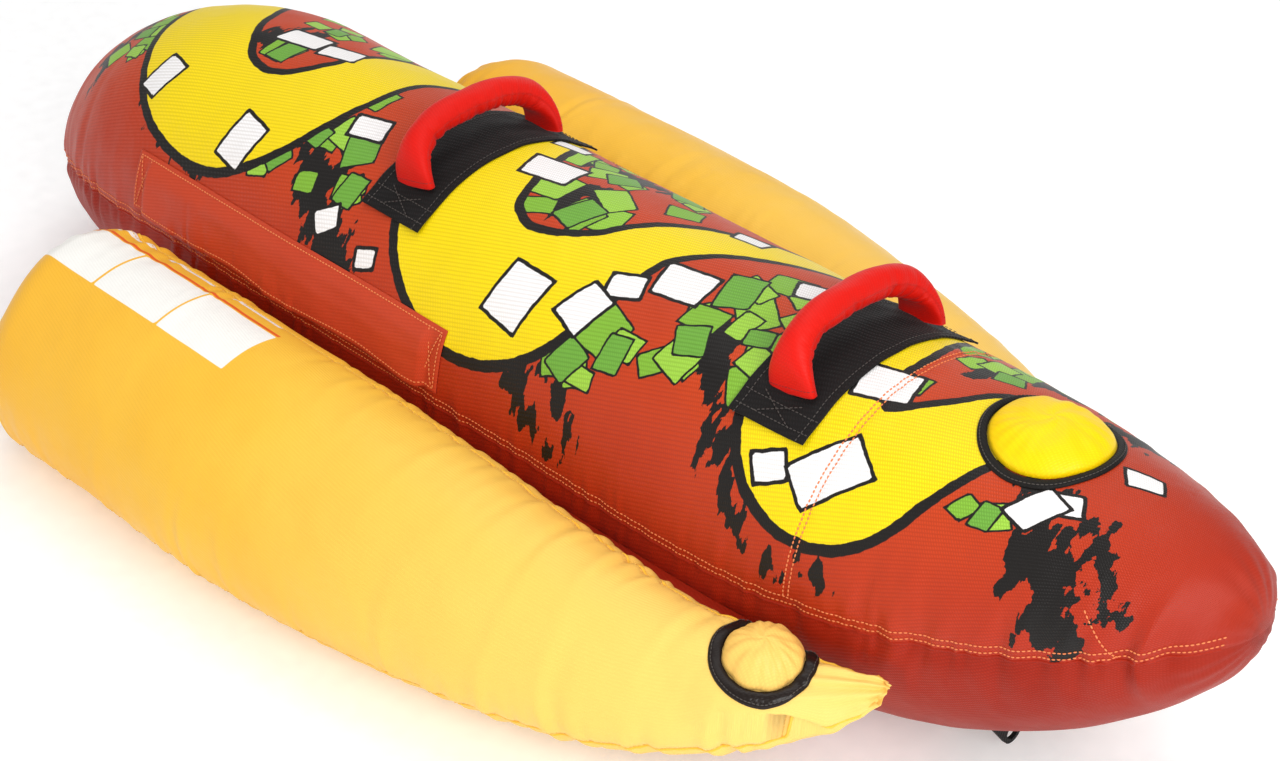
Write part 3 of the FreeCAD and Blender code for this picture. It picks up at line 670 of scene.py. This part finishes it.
def open_hole(points, centre, axis, radius):
    """Marks the points inside a round opening and moves them out to its rim."""
    from_centre = points - np.array(centre)
    axis = np.array(axis)
    flat = from_centre - (from_centre @ axis)[..., None] * axis
    distance = np.linalg.norm(flat, axis=-1)
    above = (from_centre @ axis > -0.09) & (distance < radius)
    moved = points + flat / np.maximum(distance, 1e-9)[..., None] * (radius - distance)[..., None]
    points[above] = moved[above]
    return above


points, y, a, half = tube_grid(-90, 90, 168)
normals = normals_of(points)
top_points = points + tube_relief(points, y, a, half, True)[..., None] * normals
TOP_NORMALS = normals_of(top_points)
TOP_GRID = top_points.copy()
uv = np.stack([a * RADIUS, y], -1)
fields = print_fields(y, a)
hole = open_hole(top_points, NOSE_VALVE, (0, 0, 1), NOSE_MOUTH)
faces = grid_faces(*y.shape, drop=hole)
TOP_TREE = BVHTree.FromPolygons(TOP_GRID.reshape(-1, 3).tolist(), grid_faces(*y.shape).tolist())
add_object(
    "tube_upper_cover", top_points, faces, tube_cloth, "tube", fields, uv, True,
    ("center_cover_top",),
)

points, y, a, half = tube_grid(90, 270, 150)
normals = normals_of(points)
low_points = points + tube_relief(points, y, a, half, False)[..., None] * normals
low_points[:, 0] = TOP_GRID[:, -1]
low_points[:, -1] = TOP_GRID[:, 0]
low_points[..., 2] = np.maximum(low_points[..., 2], GROUND_LIFT)
uv = np.stack([a * RADIUS, y], -1)
add_object(
    "tube_lower_cover", low_points, grid_faces(*y.shape), panel_cloth, "tube", None, uv, True,
    ("center_cover_bottom",),
)


def on_tube(y, degrees, lift=0.0):
    """Points on the finished upper cover, lifted off it along its normals."""
    row = np.interp(y, ROWS_Y, np.arange(len(ROWS_Y)))
    column = (np.asarray(degrees) + 90) / 180 * (TOP_GRID.shape[1] - 1)
    row, column = np.broadcast_arrays(row, column)
    normal = sample(TOP_NORMALS, row, column)
    normal = unit(normal)
    lift = np.asarray(lift)
    lift = lift[..., None] if lift.ndim else lift
    return sample(TOP_GRID, row, column) + normal * lift, normal


# --------------------------------------------------------------- side tubes

BUN_ROWS = 330
BUN_COLUMNS = 150
SEAM_COLUMN = 9
BUN_SEAM = math.pi * SEAM_COLUMN / (BUN_COLUMNS - 1)  # the outer seam, a little above the widest line
LABELS = ((0.195, 0.343), (0.348, 0.496), (0.501, 0.655))  # y ranges of the blank labels
LABEL_DEGREE = 0.003  # metres round the side tube for each degree


def bun_grid(low, high):
    """Points of the right side tube between two angles from its outer seam, over the top."""
    theta = np.linspace(math.radians(low), math.radians(high), BUN_COLUMNS)
    length = BUN_REAR - BUN_TAIL - BUN_FRONT
    front = BUN_FRONT + length * np.linspace(0, 1, BUN_ROWS - 50, endpoint=False) ** 1.12
    back = BUN_REAR - BUN_TAIL + BUN_TAIL * np.sin(np.linspace(0, np.pi / 2, 50))
    y, t = np.meshgrid(np.concatenate([front, back]), theta, indexing="ij")
    wide, thick, middle = bun_profile(y)
    across = np.sign(np.cos(t)) * np.abs(np.cos(t)) ** 0.94
    points = middle + OUT * (wide * across)[..., None] + UP * (thick * np.sin(t))[..., None]
    # the sewn corner at the tip points forward and up
    corner = smoothstep(1 - (y - BUN_FRONT) / 0.085)
    points[..., 1] -= 0.013 * corner
    points[..., 2] += 0.017 * corner
    return points, y, t, wide


def bun_relief(points, y, t, wide, seed):
    """How far the side tube's fabric stands out or in, in metres."""
    relief = 0.0018 * ripples(points, seed, 0.15, 0.45) + 0.0005 * ripples(points, seed + 1, 0.04, 0.1)
    for number, seam in enumerate((BUN_SEAM, np.pi)):
        away = np.abs(np.angle(np.exp(1j * (t - seam)))) * wide * 0.9
        relief -= 0.0040 * np.exp(-((away / 0.012) ** 2))
        puckers = spread(seed + 2 + number, -0.78, 0.66, 40) + spread(seed + 4 + number, -0.79, -0.55, 26)
        puckers += spread(seed + 6 + number, 0.52, 0.67, 12)
        relief += creases(
            seed + 8 + number, puckers, y, away, (0.003, 0.009), (0.02, 0.08), (0.0010, 0.0042), 0.15
        )
        folds = spread(seed + 10 + number, -0.70, 0.20, 15) + spread(seed + 12, 0.30, 0.66, 7)
        relief += creases(seed + 14, folds, y, away, (0.005, 0.010), (0.06, 0.15), (0.0024, 0.0046), 0.12)
    # pleats that fan out from the sewn tip and from the rear end
    tip = smoothstep(1 - (y - BUN_FRONT) / 0.15)
    fan = np.sin(9 * t + 26 * (y - BUN_FRONT) + 1.5 * np.sin(3 * t))
    relief += 0.0030 * tip * fan * np.abs(np.sin(t)) ** 0.5
    back = smoothstep(1 - (BUN_REAR - y) / 0.09)
    relief += 0.0026 * back * np.sin(13 * t + 2 * np.sin(5 * t))
    return relief


def box_field(u, v, u_low, u_high, v_low, v_high):
    """Distance field of a rectangle, negative inside it."""
    return np.maximum(np.maximum(u_low - u, u - u_high), np.maximum(v_low - v, v - v_high))


def stretch_flat(points):
    """Pulls the right side tube's cloth flatter under its stiff valve ring."""
    axis = np.array(BUN_VALVE_AXIS)
    from_valve = points - np.array(BUN_VALVE)
    height = from_valve @ axis
    distance = np.linalg.norm(from_valve - height[..., None] * axis, axis=-1)
    keep = 0.22 + 0.78 * smoothstep((distance - 0.058) / 0.062)
    excess = np.minimum(height + 0.006, 0)
    lift = np.where((height > -0.075) & (distance < 0.13), excess * (keep - 1), 0)
    points += lift[..., None] * axis


MIRROR = np.array([-1.0, 1.0, 1.0])
BUN_TREES = {}
BUN_SEAMS = {}
BUN_LOWS = {}


def build_bun(side):
    """The two panels of one side tube; the left one is the right one's mirror."""
    left = side == "left"
    panels = {}
    for part, low, high in (("top", 0, 180), ("bottom", 180, 360)):
        points, y, t, wide = bun_grid(low, high)
        normals = -normals_of(points)
        shaped = points + bun_relief(points, y, t, wide, 70 if not left else 170)[..., None] * normals
        shaped[-1] = shaped[-1].mean(0)
        panels[part] = [shaped, y, t, wide]
    stretch_flat(panels["top"][0])
    panels["bottom"][0][:, 0] = panels["top"][0][:, -1]
    panels["bottom"][0][:, -1] = panels["top"][0][:, 0]
    for part, (shaped, y, t, wide) in panels.items():
        shaped[..., 2] = np.maximum(shaped[..., 2], GROUND_LIFT)
        fields = {"label": np.full(y.shape, 0.05), "stripe": np.full(y.shape, 0.05)}
        if part == "top" and not left:
            round_tube = np.degrees(t) * LABEL_DEGREE
            for start, end in LABELS:
                for box in ((start, end, 0.372, 0.478), (start + 0.03, end - 0.01, 0.512, 0.532)):
                    fields["label"] = np.minimum(fields["label"], box_field(y, round_tube, *box))
            fields["stripe"] = box_field(y, round_tube, LABELS[0][0], LABELS[-1][1], 0.481, 0.488)
        if left:
            shaped *= MIRROR
        tree_points = shaped.copy()
        drop = None
        BUN_LOWS[side] = tree_points
        if part == "top":
            centre, axis = valve_frame(side)
            drop = open_hole(shaped, centre, axis, BUN_MOUTH)
            faces = grid_faces(*y.shape)
            BUN_TREES[side] = BVHTree.FromPolygons(tree_points.reshape(-1, 3).tolist(), faces.tolist())
            BUN_SEAMS[side] = tree_points
        faces = grid_faces(*y.shape, drop=drop, flip=not left)
        add_object(
            f"{side}_side_tube_{part}", shaped, faces, bun_cloth, "tube", fields, np.stack([t * wide, y], -1),
            True, (f"{side}_bun_cover_{part}",),
        )


def valve_frame(side):
    """Centre and outward axis of a side tube's valve, or of the nose valve."""
    if side == "nose":
        return NOSE_VALVE, Vector((0, 0, 1))
    way = 1 if side == "right" else -1
    centre = Vector((way * BUN_VALVE.x, BUN_VALVE.y, BUN_VALVE.z))
    return centre, Vector((way * BUN_VALVE_AXIS.x, BUN_VALVE_AXIS.y, BUN_VALVE_AXIS.z))


for side in SIDES:
    build_bun(side)

# ----------------------------------------------------------------- bladders


def build_bladder(name, upper, lower, depth, valve_centre):
    """The inflated skin inside a cover: the cover's own shape, drawn in and smoothed at the seams."""
    rows = slice(6, -6, 3)
    top = upper[rows, 4:-4:4]
    bottom = lower[rows, 4:-4:4]
    ring = np.concatenate([top, bottom], 1)
    middle = ring.mean(1, keepdims=True)
    away = ring - middle
    length = np.linalg.norm(away, axis=-1, keepdims=True)
    # close under the cover at the valve, well clear of the puckered seams elsewhere
    near = np.linalg.norm(ring - np.array(valve_centre), axis=-1, keepdims=True)
    shrink = np.maximum(length - depth + (depth - 0.006) * np.exp(-((near / 0.07) ** 4)), length * 0.4)
    ring = middle + away / length * shrink
    rows_count, columns = ring.shape[:2]
    points = np.vstack([ring.reshape(-1, 3), middle[0], middle[-1]])
    faces = grid_faces(rows_count, columns, wrap=True).tolist()
    for base, tip, turn in ((0, len(points) - 2, 1), ((rows_count - 1) * columns, len(points) - 1, -1)):
        for k in range(columns):
            faces.append([base + k, base + (k + 1) % columns, tip][::turn])
    mesh = bpy.data.meshes.new(name)
    mesh.from_pydata(points.tolist(), [], faces)
    mesh.shade_smooth()
    skin = bpy.data.objects.new(name + "_skin", mesh)
    scene.collection.objects.link(skin)
    mesh.materials.append(pvc)
    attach(skin, "tube")
    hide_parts(name)


build_bladder("center_bladder", TOP_GRID, low_points, 0.016, NOSE_VALVE)
for side in SIDES:
    build_bladder(f"{side}_bun_bladder", BUN_SEAMS[side], BUN_LOWS[side], 0.014, valve_frame(side)[0])

# ------------------------------------------------------- stitches and piping


def resample(points, normals, pitch):
    """Points, tangents and normals at even steps along a line."""
    gaps = np.linalg.norm(np.diff(points, axis=0), axis=1)
    run = np.concatenate([[0], np.cumsum(gaps)])
    at = np.arange(pitch / 2, run[-1], pitch)
    place = np.stack([np.interp(at, run, points[:, k]) for k in range(3)], -1)
    normal = np.stack([np.interp(at, run, normals[:, k]) for k in range(3)], -1)
    tangent = unit(np.gradient(place, axis=0))
    return place, tangent, unit(normal - (normal * tangent).sum(1, keepdims=True) * tangent)


STITCH_LENGTH = 0.0044


def stitches(name, rows, material, body="tube", pitch=0.0062, thick=0.0011):
    """Rows of sewing thread: each stitch is a small rounded bar lying on the cloth."""
    points, faces = [], []
    count = 0
    sides = []
    for level in range(3):
        for k in range(6):
            m = (k + 1) % 6
            sides.append((level * 6 + k, level * 6 + m, level * 6 + 6 + m, level * 6 + 6 + k))
    shell = (sides, ((0, 3, 2, 1), (0, 5, 4, 3)), ((18, 19, 20, 21), (18, 21, 22, 23)))
    for line, normals in rows:
        place, tangent, normal = resample(line, normals, pitch)
        side = np.cross(tangent, normal)
        corners = []
        for step, girth in ((-0.5, 0.35), (-0.25, 1.0), (0.25, 1.0), (0.5, 0.35)):
            for angle in np.linspace(0, 2 * np.pi, 6, endpoint=False):
                corner = place + tangent * (step * STITCH_LENGTH)
                corner = corner + side * (thick * girth * math.cos(angle))
                rise = thick * 0.7 * girth * math.sin(angle) + thick * 0.2 * (girth - 0.6)
                corners.append(corner + normal * rise)
        points.append(np.stack(corners, 1).reshape(-1, 3))
        start = count + 24 * np.arange(len(place))
        for quads in shell:
            faces.append((start[:, None, None] + np.array(quads)[None]).reshape(-1, 4))
        count += 24 * len(place)
    return add_object(name, np.vstack(points), np.vstack(faces), material, body)


def piping(name, line, normals, radius, material):
    """A sewn welt: a round ridge that follows a line on the cloth."""
    place, tangent, normal = resample(line, normals, 0.006)
    side = np.cross(tangent, normal)
    sides = 10
    ring = np.linspace(0, 2 * np.pi, sides, endpoint=False)
    wobble = 1 + 0.12 * np.sin(np.arange(len(place)) * 1.9)[:, None, None]
    grid = place[:, None] + radius * wobble * (
        side[:, None] * np.cos(ring)[None, :, None] + normal[:, None] * np.sin(ring)[None, :, None]
    )
    faces = grid_faces(len(place), sides, wrap=True, flip=True)
    return add_object(name, grid, faces, material, "tube")


seam_y = np.linspace(-1.135, 1.135, 900)
seam_half = np.maximum(tube_profile(seam_y)[0], 0.03)
orange_rows = []
for way in (1, -1):
    for inset in (0.007, 0.017):
        orange_rows.append(on_tube(seam_y, way * (90 - np.degrees(inset / seam_half)), 0.0004))
hoop = np.linspace(-86, 86, 400)
for shift in (-0.004, 0.004):
    orange_rows.append(on_tube(HOOP_SEAM + shift + 0 * hoop, hoop, 0.0003))
for way in (1, -1):
    down = np.linspace(0, 1, 60)
    orange_rows.append(on_tube(-1.00 - 0.05 * down, way * (62 + 27 * down), 0.0003))
for way, name in ((1, "right"), (-1, "left")):
    line, normal = on_tube(seam_y, 89.9 * way + 0 * seam_y, -0.0008)
    piping(f"{name}_equator_welt", line, normal, 0.0022, web_cloth)

for side in SIDES:
    way = 1 if side == "right" else -1
    grid = BUN_SEAMS[side]
    normals = normals_of(grid) * (-1 if side == "right" else 1)
    for number, column in enumerate((SEAM_COLUMN, -1)):
        line = grid[2:-6, column]
        outward = unit(line - grid[2:-6, BUN_COLUMNS // 2])
        piping(f"{side}_side_tube_welt_{number}", line, outward, 0.0020, welt_cloth)
    rows = []
    for column in (SEAM_COLUMN + 4, -6):
        rows.append((grid[4:-12, column] + 0.0003 * normals[4:-12, column], normals[4:-12, column]))
    stitches(f"{side}_side_tube_thread", rows, thread_yellow, thick=0.0008)

# ------------------------------------------------------------ valve dressing

DRAPE_START = 0.12
DRAPE_DROP = 0.075

def drape(tree, place, axis):
    """Where a point comes down on the cloth along the axis, or the nearest cloth."""
    hit, normal, _, _ = tree.ray_cast(place + axis * DRAPE_START, -axis, DRAPE_START + DRAPE_DROP)
    if hit is None:
        hit, normal, _, _ = tree.find_nearest(place - axis * 0.03)
    if normal.dot(axis) < 0:
        normal = -normal
    return hit, normal


def dress_valve(
    side, body, ring_name, flap_name, outer, inner, height, scallops, ring_material, flap_material, thread,
    cad,
):
    """The sewn ring round a valve and the puffed fabric flap that covers it."""
    tree = TOP_TREE if side == "nose" else BUN_TREES[side]
    centre, axis = valve_frame(side)
    x = Vector((1, 0, 0))
    x = (x - axis * x.dot(axis)).normalized()
    z_turn = axis.cross(x)
    around = 96
    turns = [2 * math.pi * k / around for k in range(around)]
    # the ring's section, a low mound: how far inwards, and how high
    profile = (
        (0.0, 0.0004), (0.02, 0.0022), (0.15, 0.0036), (0.5, 0.0042),
        (0.85, 0.0036), (0.98, 0.0022), (1.0, 0.0004),
    )
    grid = np.zeros((len(profile), around, 3))
    edge = []
    for k, turn in enumerate(turns):
        way = x * math.cos(turn) + z_turn * math.sin(turn)
        for level, (share, lift) in enumerate(profile):
            hit, normal = drape(tree, centre + way * (outer + (inner - outer) * share), axis)
            grid[level, k] = hit + normal * lift
        hit, normal = drape(tree, centre + way * (outer - 0.0035), axis)
        edge.append((hit + normal * 0.0044, normal))
    faces = grid_faces(len(profile), around, wrap=True)
    add_object(
        ring_name, grid, faces, ring_material, "tube", uv=uv_flat(grid, x, z_turn),
        replaces=(cad + "_ring",),
    )
    edge.append(edge[0])
    rows = [(np.array([p for p, _ in edge]), np.array([n for _, n in edge]))]
    stitches(ring_name + "_thread", rows, thread_dark, thick=0.0007, pitch=0.0052)

    levels = 26
    radius = inner - 0.0012
    rng = random.Random(len(side))
    phase = rng.uniform(0, 6)
    grid = np.zeros((levels, around, 3))
    for k, turn in enumerate(turns):
        way = x * math.cos(turn) + z_turn * math.sin(turn)
        # drawn in beside its hinge, so that it opens clear of the ring
        hinge_side = max(0.0, way.y) ** 14
        scallop = 1 + scallops * (abs(math.sin(4.0 * turn + phase)) - 0.4)
        edge_radius = radius * scallop - 0.0045 * hinge_side
        hit, normal = drape(tree, centre + way * edge_radius, axis)
        rim = (hit + normal * (0.0016 + 0.0022 * hinge_side) - centre).dot(axis)
        for level in range(levels):
            share = 1 - level / (levels - 1)
            swell = (1 - share**2.2) ** 0.62
            gather = math.sin(17 * turn + 3 * math.sin(2 * turn + phase)) * (1 + 0.5 * math.sin(3 * turn))
            puff = rim * share**3 + height * swell
            puff += 0.0011 * gather * share**4 * (1 - share) * 8 * (1.0 if side == "nose" else 1.6)
            puff += 0.0010 * math.sin(5 * turn + 9 * share + phase) * (1 - share) * share * 4
            grid[level, k] = centre + way * (edge_radius * share) + axis * puff
    faces = grid_faces(levels, around, wrap=True)
    flap = add_object(
        flap_name, grid, faces, flap_material, body, uv=uv_flat(grid, x, z_turn),
        merge=True, replaces=(cad + "_flap",),
    )
    thicken(flap, 0.0012)
    ring_row = np.vstack([grid[1], grid[1][:1]])
    away = unit(ring_row - np.array(centre) + np.array(axis) * 0.02)
    # no thread beside the hinge
    sewn = np.r_[ring_row[36:-1], ring_row[:13]]
    outwards = np.r_[away[36:-1], away[:13]]
    stitches(flap_name + "_thread", [(sewn + 0.0005 * outwards, outwards)], thread, body, thick=0.0007)


def uv_flat(grid, x, y):
    """Cloth coordinates of a piece cut flat from the roll."""
    return np.stack([grid @ np.array(x), grid @ np.array(y)], -1)


dress_valve(
    "nose", "center_flap", "nose_valve_ring", "nose_valve_flap", outer=0.088, inner=0.076, height=0.0268,
    scallops=0.0, ring_material=ring_cloth, flap_material=flap_cloth, thread=thread_dark,
    cad="center_valve",
)
for side in SIDES:
    dress_valve(
        side, f"{side}_bun_flap", f"{side}_valve_ring", f"{side}_valve_flap", outer=0.067, inner=0.050,
        height=0.031, scallops=0.05, ring_material=bun_ring_cloth, flap_material=bun_flap_cloth,
        thread=thread_yellow, cad=f"{side}_bun_valve",
    )

# ----------------------------------------------------- knuckle guards, grips

HANDLES = {"front": -0.534, "rear": 0.180}
HANDLE_SPAN = 0.120
HANDLE_RISE = 0.072
HANDLE_LEAN = math.radians(13)
AXIS_LIFT = 0.012
GRIP = 0.0215
GRIP_END = 0.0074
ARCH_POWER = 0.78
ARCH_ENDS = (-8, 188)  # degrees round the arch
FOOT_HALF = 0.037  # half width of the flat sewn ends
GUARD_HALF = 0.060
GUARD_ANGLE = 41.5


def build_guard(side, at):
    """A coarse fabric pad under a handle, sewn down along its edges."""
    columns, rows = 120, 44
    degrees = np.linspace(-GUARD_ANGLE, GUARD_ANGLE, columns)
    along = np.linspace(-GUARD_HALF, GUARD_HALF, rows)
    y, angle = np.meshgrid(at + along, degrees, indexing="ij")
    hem = np.minimum(GUARD_HALF - np.abs(y - at), (GUARD_ANGLE - np.abs(angle)) * math.radians(RADIUS))
    wave = np.sin(y * 140 + 3 * np.sin(angle / 9)) * np.sin(angle / 5 + at * 9)
    lift = 0.0030 + 0.0007 * wave + 0.0010 * np.exp(-((hem / 0.006) ** 2))
    lift += 0.0035 * smoothstep((np.abs(angle) - 34) / 8) * (0.6 + 0.4 * np.sin(y * 60))
    points, normals = on_tube(y, angle, lift)
    uv = np.stack([np.radians(angle) * RADIUS, y], -1)
    guard = add_object(
        f"{side}_guard_pad", points, grid_faces(rows, columns), guard_cloth, "tube", uv=uv,
        replaces=(f"{side}_knuckle_guard",),
    )
    thicken(guard, 0.0026)
    rows_of_thread = []
    for inset in (4, rows - 5):
        rows_of_thread.append((points[inset] + 0.0004 * normals[inset], normals[inset]))
    for inset in (4, columns - 5, 11, columns - 12):
        rows_of_thread.append((points[:, inset] + 0.0004 * normals[:, inset], normals[:, inset]))
    for sign in (-1, 1):
        for slope in (-1, 1):
            u = np.linspace(-1, 1, 40)
            line, normal = on_tube(at + 0.030 * u, sign * (35.5 + 3.6 * slope * u), 0.0056)
            rows_of_thread.append((line, normal))
    stitches(f"{side}_guard_thread", rows_of_thread, thread_dark, thick=0.0008)


def build_grip(side, at):
    """A padded handle: a gathered tube of cloth whose flat ends are sewn to the guard."""
    half, middle = tube_profile(np.array(at))
    foot_z = float(middle + CROWN * np.sqrt(half**2 - HANDLE_SPAN**2)) + AXIS_LIFT
    foot = np.array([0, at, foot_z])
    up = np.array([0, math.sin(HANDLE_LEAN), math.cos(HANDLE_LEAN)])
    out = np.array([1.0, 0, 0])
    rings, around = 190, 44
    # a squarish arch, its rings evenly spaced along it
    dense = np.radians(np.linspace(*ARCH_ENDS, 2000))
    sine, cosine = np.sin(dense), np.cos(dense)
    across = -HANDLE_SPAN * np.sign(cosine) * np.abs(cosine) ** ARCH_POWER
    rise = HANDLE_RISE * np.where(sine > 0, np.abs(sine) ** ARCH_POWER, 0.9 * sine)
    length = np.concatenate([[0], np.cumsum(np.hypot(np.diff(across), np.diff(rise)))])
    even = np.linspace(0, length[-1], rings)
    spot = foot + np.outer(np.interp(even, length, across), out) + np.outer(np.interp(even, length, rise), up)
    turn = np.linspace(*ARCH_ENDS, rings)
    tangent = np.gradient(spot, axis=0)
    padded = [np.pad(tangent[:, k], 4, "edge") for k in range(3)]
    tangent = np.array([np.convolve(values, np.ones(9) / 9, "valid") for values in padded]).T
    tangent = unit(tangent)
    side_way = np.tile(np.cross(out, up), (rings, 1))
    radial = np.cross(tangent, side_way)
    radial *= np.sign((radial * (spot - foot)).sum(1, keepdims=True) + 1e-9)
    closeness = np.minimum(turn - turn[0], turn[-1] - turn)
    fill = smoothstep(closeness / 40)
    half_side = FOOT_HALF + (GRIP - FOOT_HALF) * smoothstep(closeness / 48)
    half_radial = GRIP_END + (GRIP - GRIP_END) * fill
    ring = np.linspace(0, 2 * np.pi, around, endpoint=False)
    c, s = np.cos(ring), np.sin(ring)
    inner = np.clip(-s, 0, 1) ** 0.7 + 0.35 * np.clip(np.abs(c) * 1.2 - 0.2, 0, 1)
    rng = random.Random(int(at * 1000))
    pull = np.zeros((rings, around))
    for low, high, count in ((36, 74, 9), (106, 144, 9), (74, 106, 4), (12, 34, 3), (146, 168, 3)):
        for _ in range(count):
            fold = rng.uniform(low, high)
            lean = rng.uniform(-3, 3) * np.cos(ring)[None]
            shape = np.exp(-(((turn[:, None] - fold - lean) / rng.uniform(1.2, 2.6)) ** 2))
            pull += rng.uniform(0.0007, 0.0024) * shape * inner[None]
    pull = np.minimum(pull, 0.0042) * fill[:, None]
    slack = 0.0005 * np.sin(np.outer(turn / 7.0, np.ones(around)) + 3 * ring[None]) * fill[:, None]
    # flat and square at the sewn ends, round along the arch
    power = (0.5 + 0.5 * fill)[:, None]
    square_c = np.sign(c)[None] * np.abs(c)[None] ** power
    square_s = np.sign(s)[None] * np.abs(s)[None] ** power
    across = (half_side[:, None] - pull + slack) * square_c
    lift = (half_radial[:, None] - pull + slack) * square_s
    grid = spot[:, None] + side_way[:, None] * across[..., None] + radial[:, None] * lift[..., None]
    run = np.concatenate([[0], np.cumsum(np.linalg.norm(np.diff(spot, axis=0), axis=1))])
    uv = np.stack(np.broadcast_arrays(run[:, None], ring[None] * GRIP), -1)
    faces = grid_faces(rings, around, wrap=True)
    caps = []
    for base in (0, (rings - 1) * around):
        for k in range(1, around // 2):
            caps.append((base + k - 1, base + k, base + around - k, base + (around - k + 1) % around))
    caps = np.array(caps)
    caps = caps[[len(set(q)) == 4 for q in caps.tolist()]]
    grip = add_object(f"{side}_grip", grid, np.vstack([faces, caps]), grip_cloth, None, uv=uv)
    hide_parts(f"{side}_grip_pad")
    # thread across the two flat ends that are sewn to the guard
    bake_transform(grip)
    for end, index in (("right", 5), ("left", -6)):
        row = grid[index, : around // 2 + 1]
        normal = unit(np.cross(np.gradient(row, axis=0), tangent[index]))
        normal *= np.sign((normal * (row - spot[index])).sum(1, keepdims=True).sum() or 1)
        stitches(f"{side}_grip_{end}_thread", [(row, normal)], thread_red, thick=0.0008, pitch=0.0052)


for side, at in HANDLES.items():
    build_guard(side, at)
    build_grip(side, at)

# ------------------------------------------------------- zipper flap, thread

ZIP_FRONT, ZIP_REAR = -0.005, 0.705
ZIP_TOP, ZIP_LOW = 63.0, 84.0


def build_zip_flap():
    """The long strip of cloth over the zipper: sewn along its top and at both ends, free below."""
    rows, columns = 240, 30
    along = np.linspace(ZIP_FRONT, ZIP_REAR, rows)
    share = np.linspace(0, 1, columns)
    y, v = np.meshgrid(along, share, indexing="ij")
    end = np.minimum(y - ZIP_FRONT, ZIP_REAR - y)
    loose = smoothstep((end - 0.022) / 0.016)
    degrees = ZIP_TOP + (ZIP_LOW - ZIP_TOP) * v
    degrees += loose * 0.7 * v * np.sin(y * 24)
    waves = 0.0014 * np.sin(y * 19 + 2 * v) + 0.0010 * np.sin(y * 43 + 5 * v)
    lift = 0.0020 + loose * (0.0078 * smoothstep(v * 3.2) + waves * v)
    lift += 0.0012 * loose * np.exp(-(((v - 0.45 - 0.1 * np.sin(y * 9)) / 0.10) ** 2))
    points, normals = on_tube(y, degrees, lift)
    uv = np.stack([np.radians(degrees) * RADIUS, y], -1)
    flap = add_object(
        "zipper_cover_strip", points, grid_faces(rows, columns), strip_cloth, "tube", uv=uv,
        replaces=("zipper_flap",),
    )
    thicken(flap, 0.0014)
    sewn = []
    for column in (2, columns - 3):
        sewn.append((points[2:-2, column] + 0.0003 * normals[2:-2, column], normals[2:-2, column]))
    for at in (ZIP_FRONT + 0.006, ZIP_FRONT + 0.036, ZIP_REAR - 0.006, ZIP_REAR - 0.036):
        u = np.linspace(0.08, 0.92, 40)
        sewn.append(on_tube(at + 0 * u, ZIP_TOP + (ZIP_LOW - ZIP_TOP) * u, 0.0030))
    for low, high in ((ZIP_FRONT + 0.006, ZIP_FRONT + 0.036), (ZIP_REAR - 0.036, ZIP_REAR - 0.006)):
        for slope in (1, -1):
            u = np.linspace(0.08, 0.92, 50)
            at = (low + high) / 2 + slope * (high - low) * (u - 0.5)
            sewn.append(on_tube(at, ZIP_TOP + (ZIP_LOW - ZIP_TOP) * u, 0.0032))
    return sewn


strip_cloth = cloth("strip_nylon", srgb(206, 76, 42), srgb(190, 60, 36), rough=0.48, grain=0.13)
orange_rows += build_zip_flap()
stitches("orange_thread", orange_rows, thread_orange)

# -------------------------------------------------- CAD nodes that stay shown

FINISHES = {
    "web": web_cloth, "valve_base": valve_plastic, "valve_seal": seal_rubber,
    "valve_cap": cap_plastic, "webbing": strap_cloth, "tow_patch": strap_cloth, "tow_tab": strap_cloth,
    "zipper_slider": slider_metal, "zipper": zip_plastic,
}
for name, node in nodes.items():
    if node.hide_render:
        continue
    found = [key for key in FINISHES if name.endswith(key)]
    node.data.materials.clear()
    node.data.materials.append(FINISHES[max(found, key=len)])

# --------------------------------------------------------- floor and lights

FLOOR_REACH = 14.0
floor_mesh = bpy.data.meshes.new("floor")
corners = [(x * FLOOR_REACH, y * FLOOR_REACH, 0) for x, y in ((-1, -1), (1, -1), (1, 1), (-1, 1))]
floor_mesh.from_pydata(corners, [], [(0, 1, 2, 3)])
floor = bpy.data.objects.new("floor", floor_mesh)
scene.collection.objects.link(floor)
floor_paint = plastic("floor_paint", srgb(252, 252, 252), 0.9, specular=0.1)
floor_shader = floor_paint.node_tree.nodes["Principled BSDF"]
floor_shader.inputs["Emission Color"].default_value = (1, 1, 1, 1)
floor_shader.inputs["Emission Strength"].default_value = 0.22
floor_mesh.materials.append(floor_paint)

world = bpy.data.worlds.new("studio")
scene.world = world
world.use_nodes = True
world.node_tree.nodes["Background"].inputs["Color"].default_value = (1, 1, 1, 1)
world.node_tree.nodes["Background"].inputs["Strength"].default_value = 0.5


def soft_light(name, at, towards, size, power):
    """A square soft box."""
    lamp = bpy.data.lights.new(name, "AREA")
    lamp.shape = "SQUARE"
    lamp.size = size
    lamp.energy = power
    light = bpy.data.objects.new(name, lamp)
    scene.collection.objects.link(light)
    light.location = at
    light.rotation_euler = (Vector(towards) - Vector(at)).to_track_quat("-Z", "Y").to_euler()


soft_light("key", (-1.7, -3.6, 2.5), (0, -0.2, 0.2), 2.2, 125)
soft_light("top", (0.4, 0.3, 3.6), (0, 0, 0.2), 2.6, 42)
soft_light("fill", (-3.4, 1.2, 1.8), (0, 0.2, 0.2), 2.4, 18)
soft_light("rim", (2.8, 1.6, 2.0), (0, 0, 0.3), 2.0, 12)
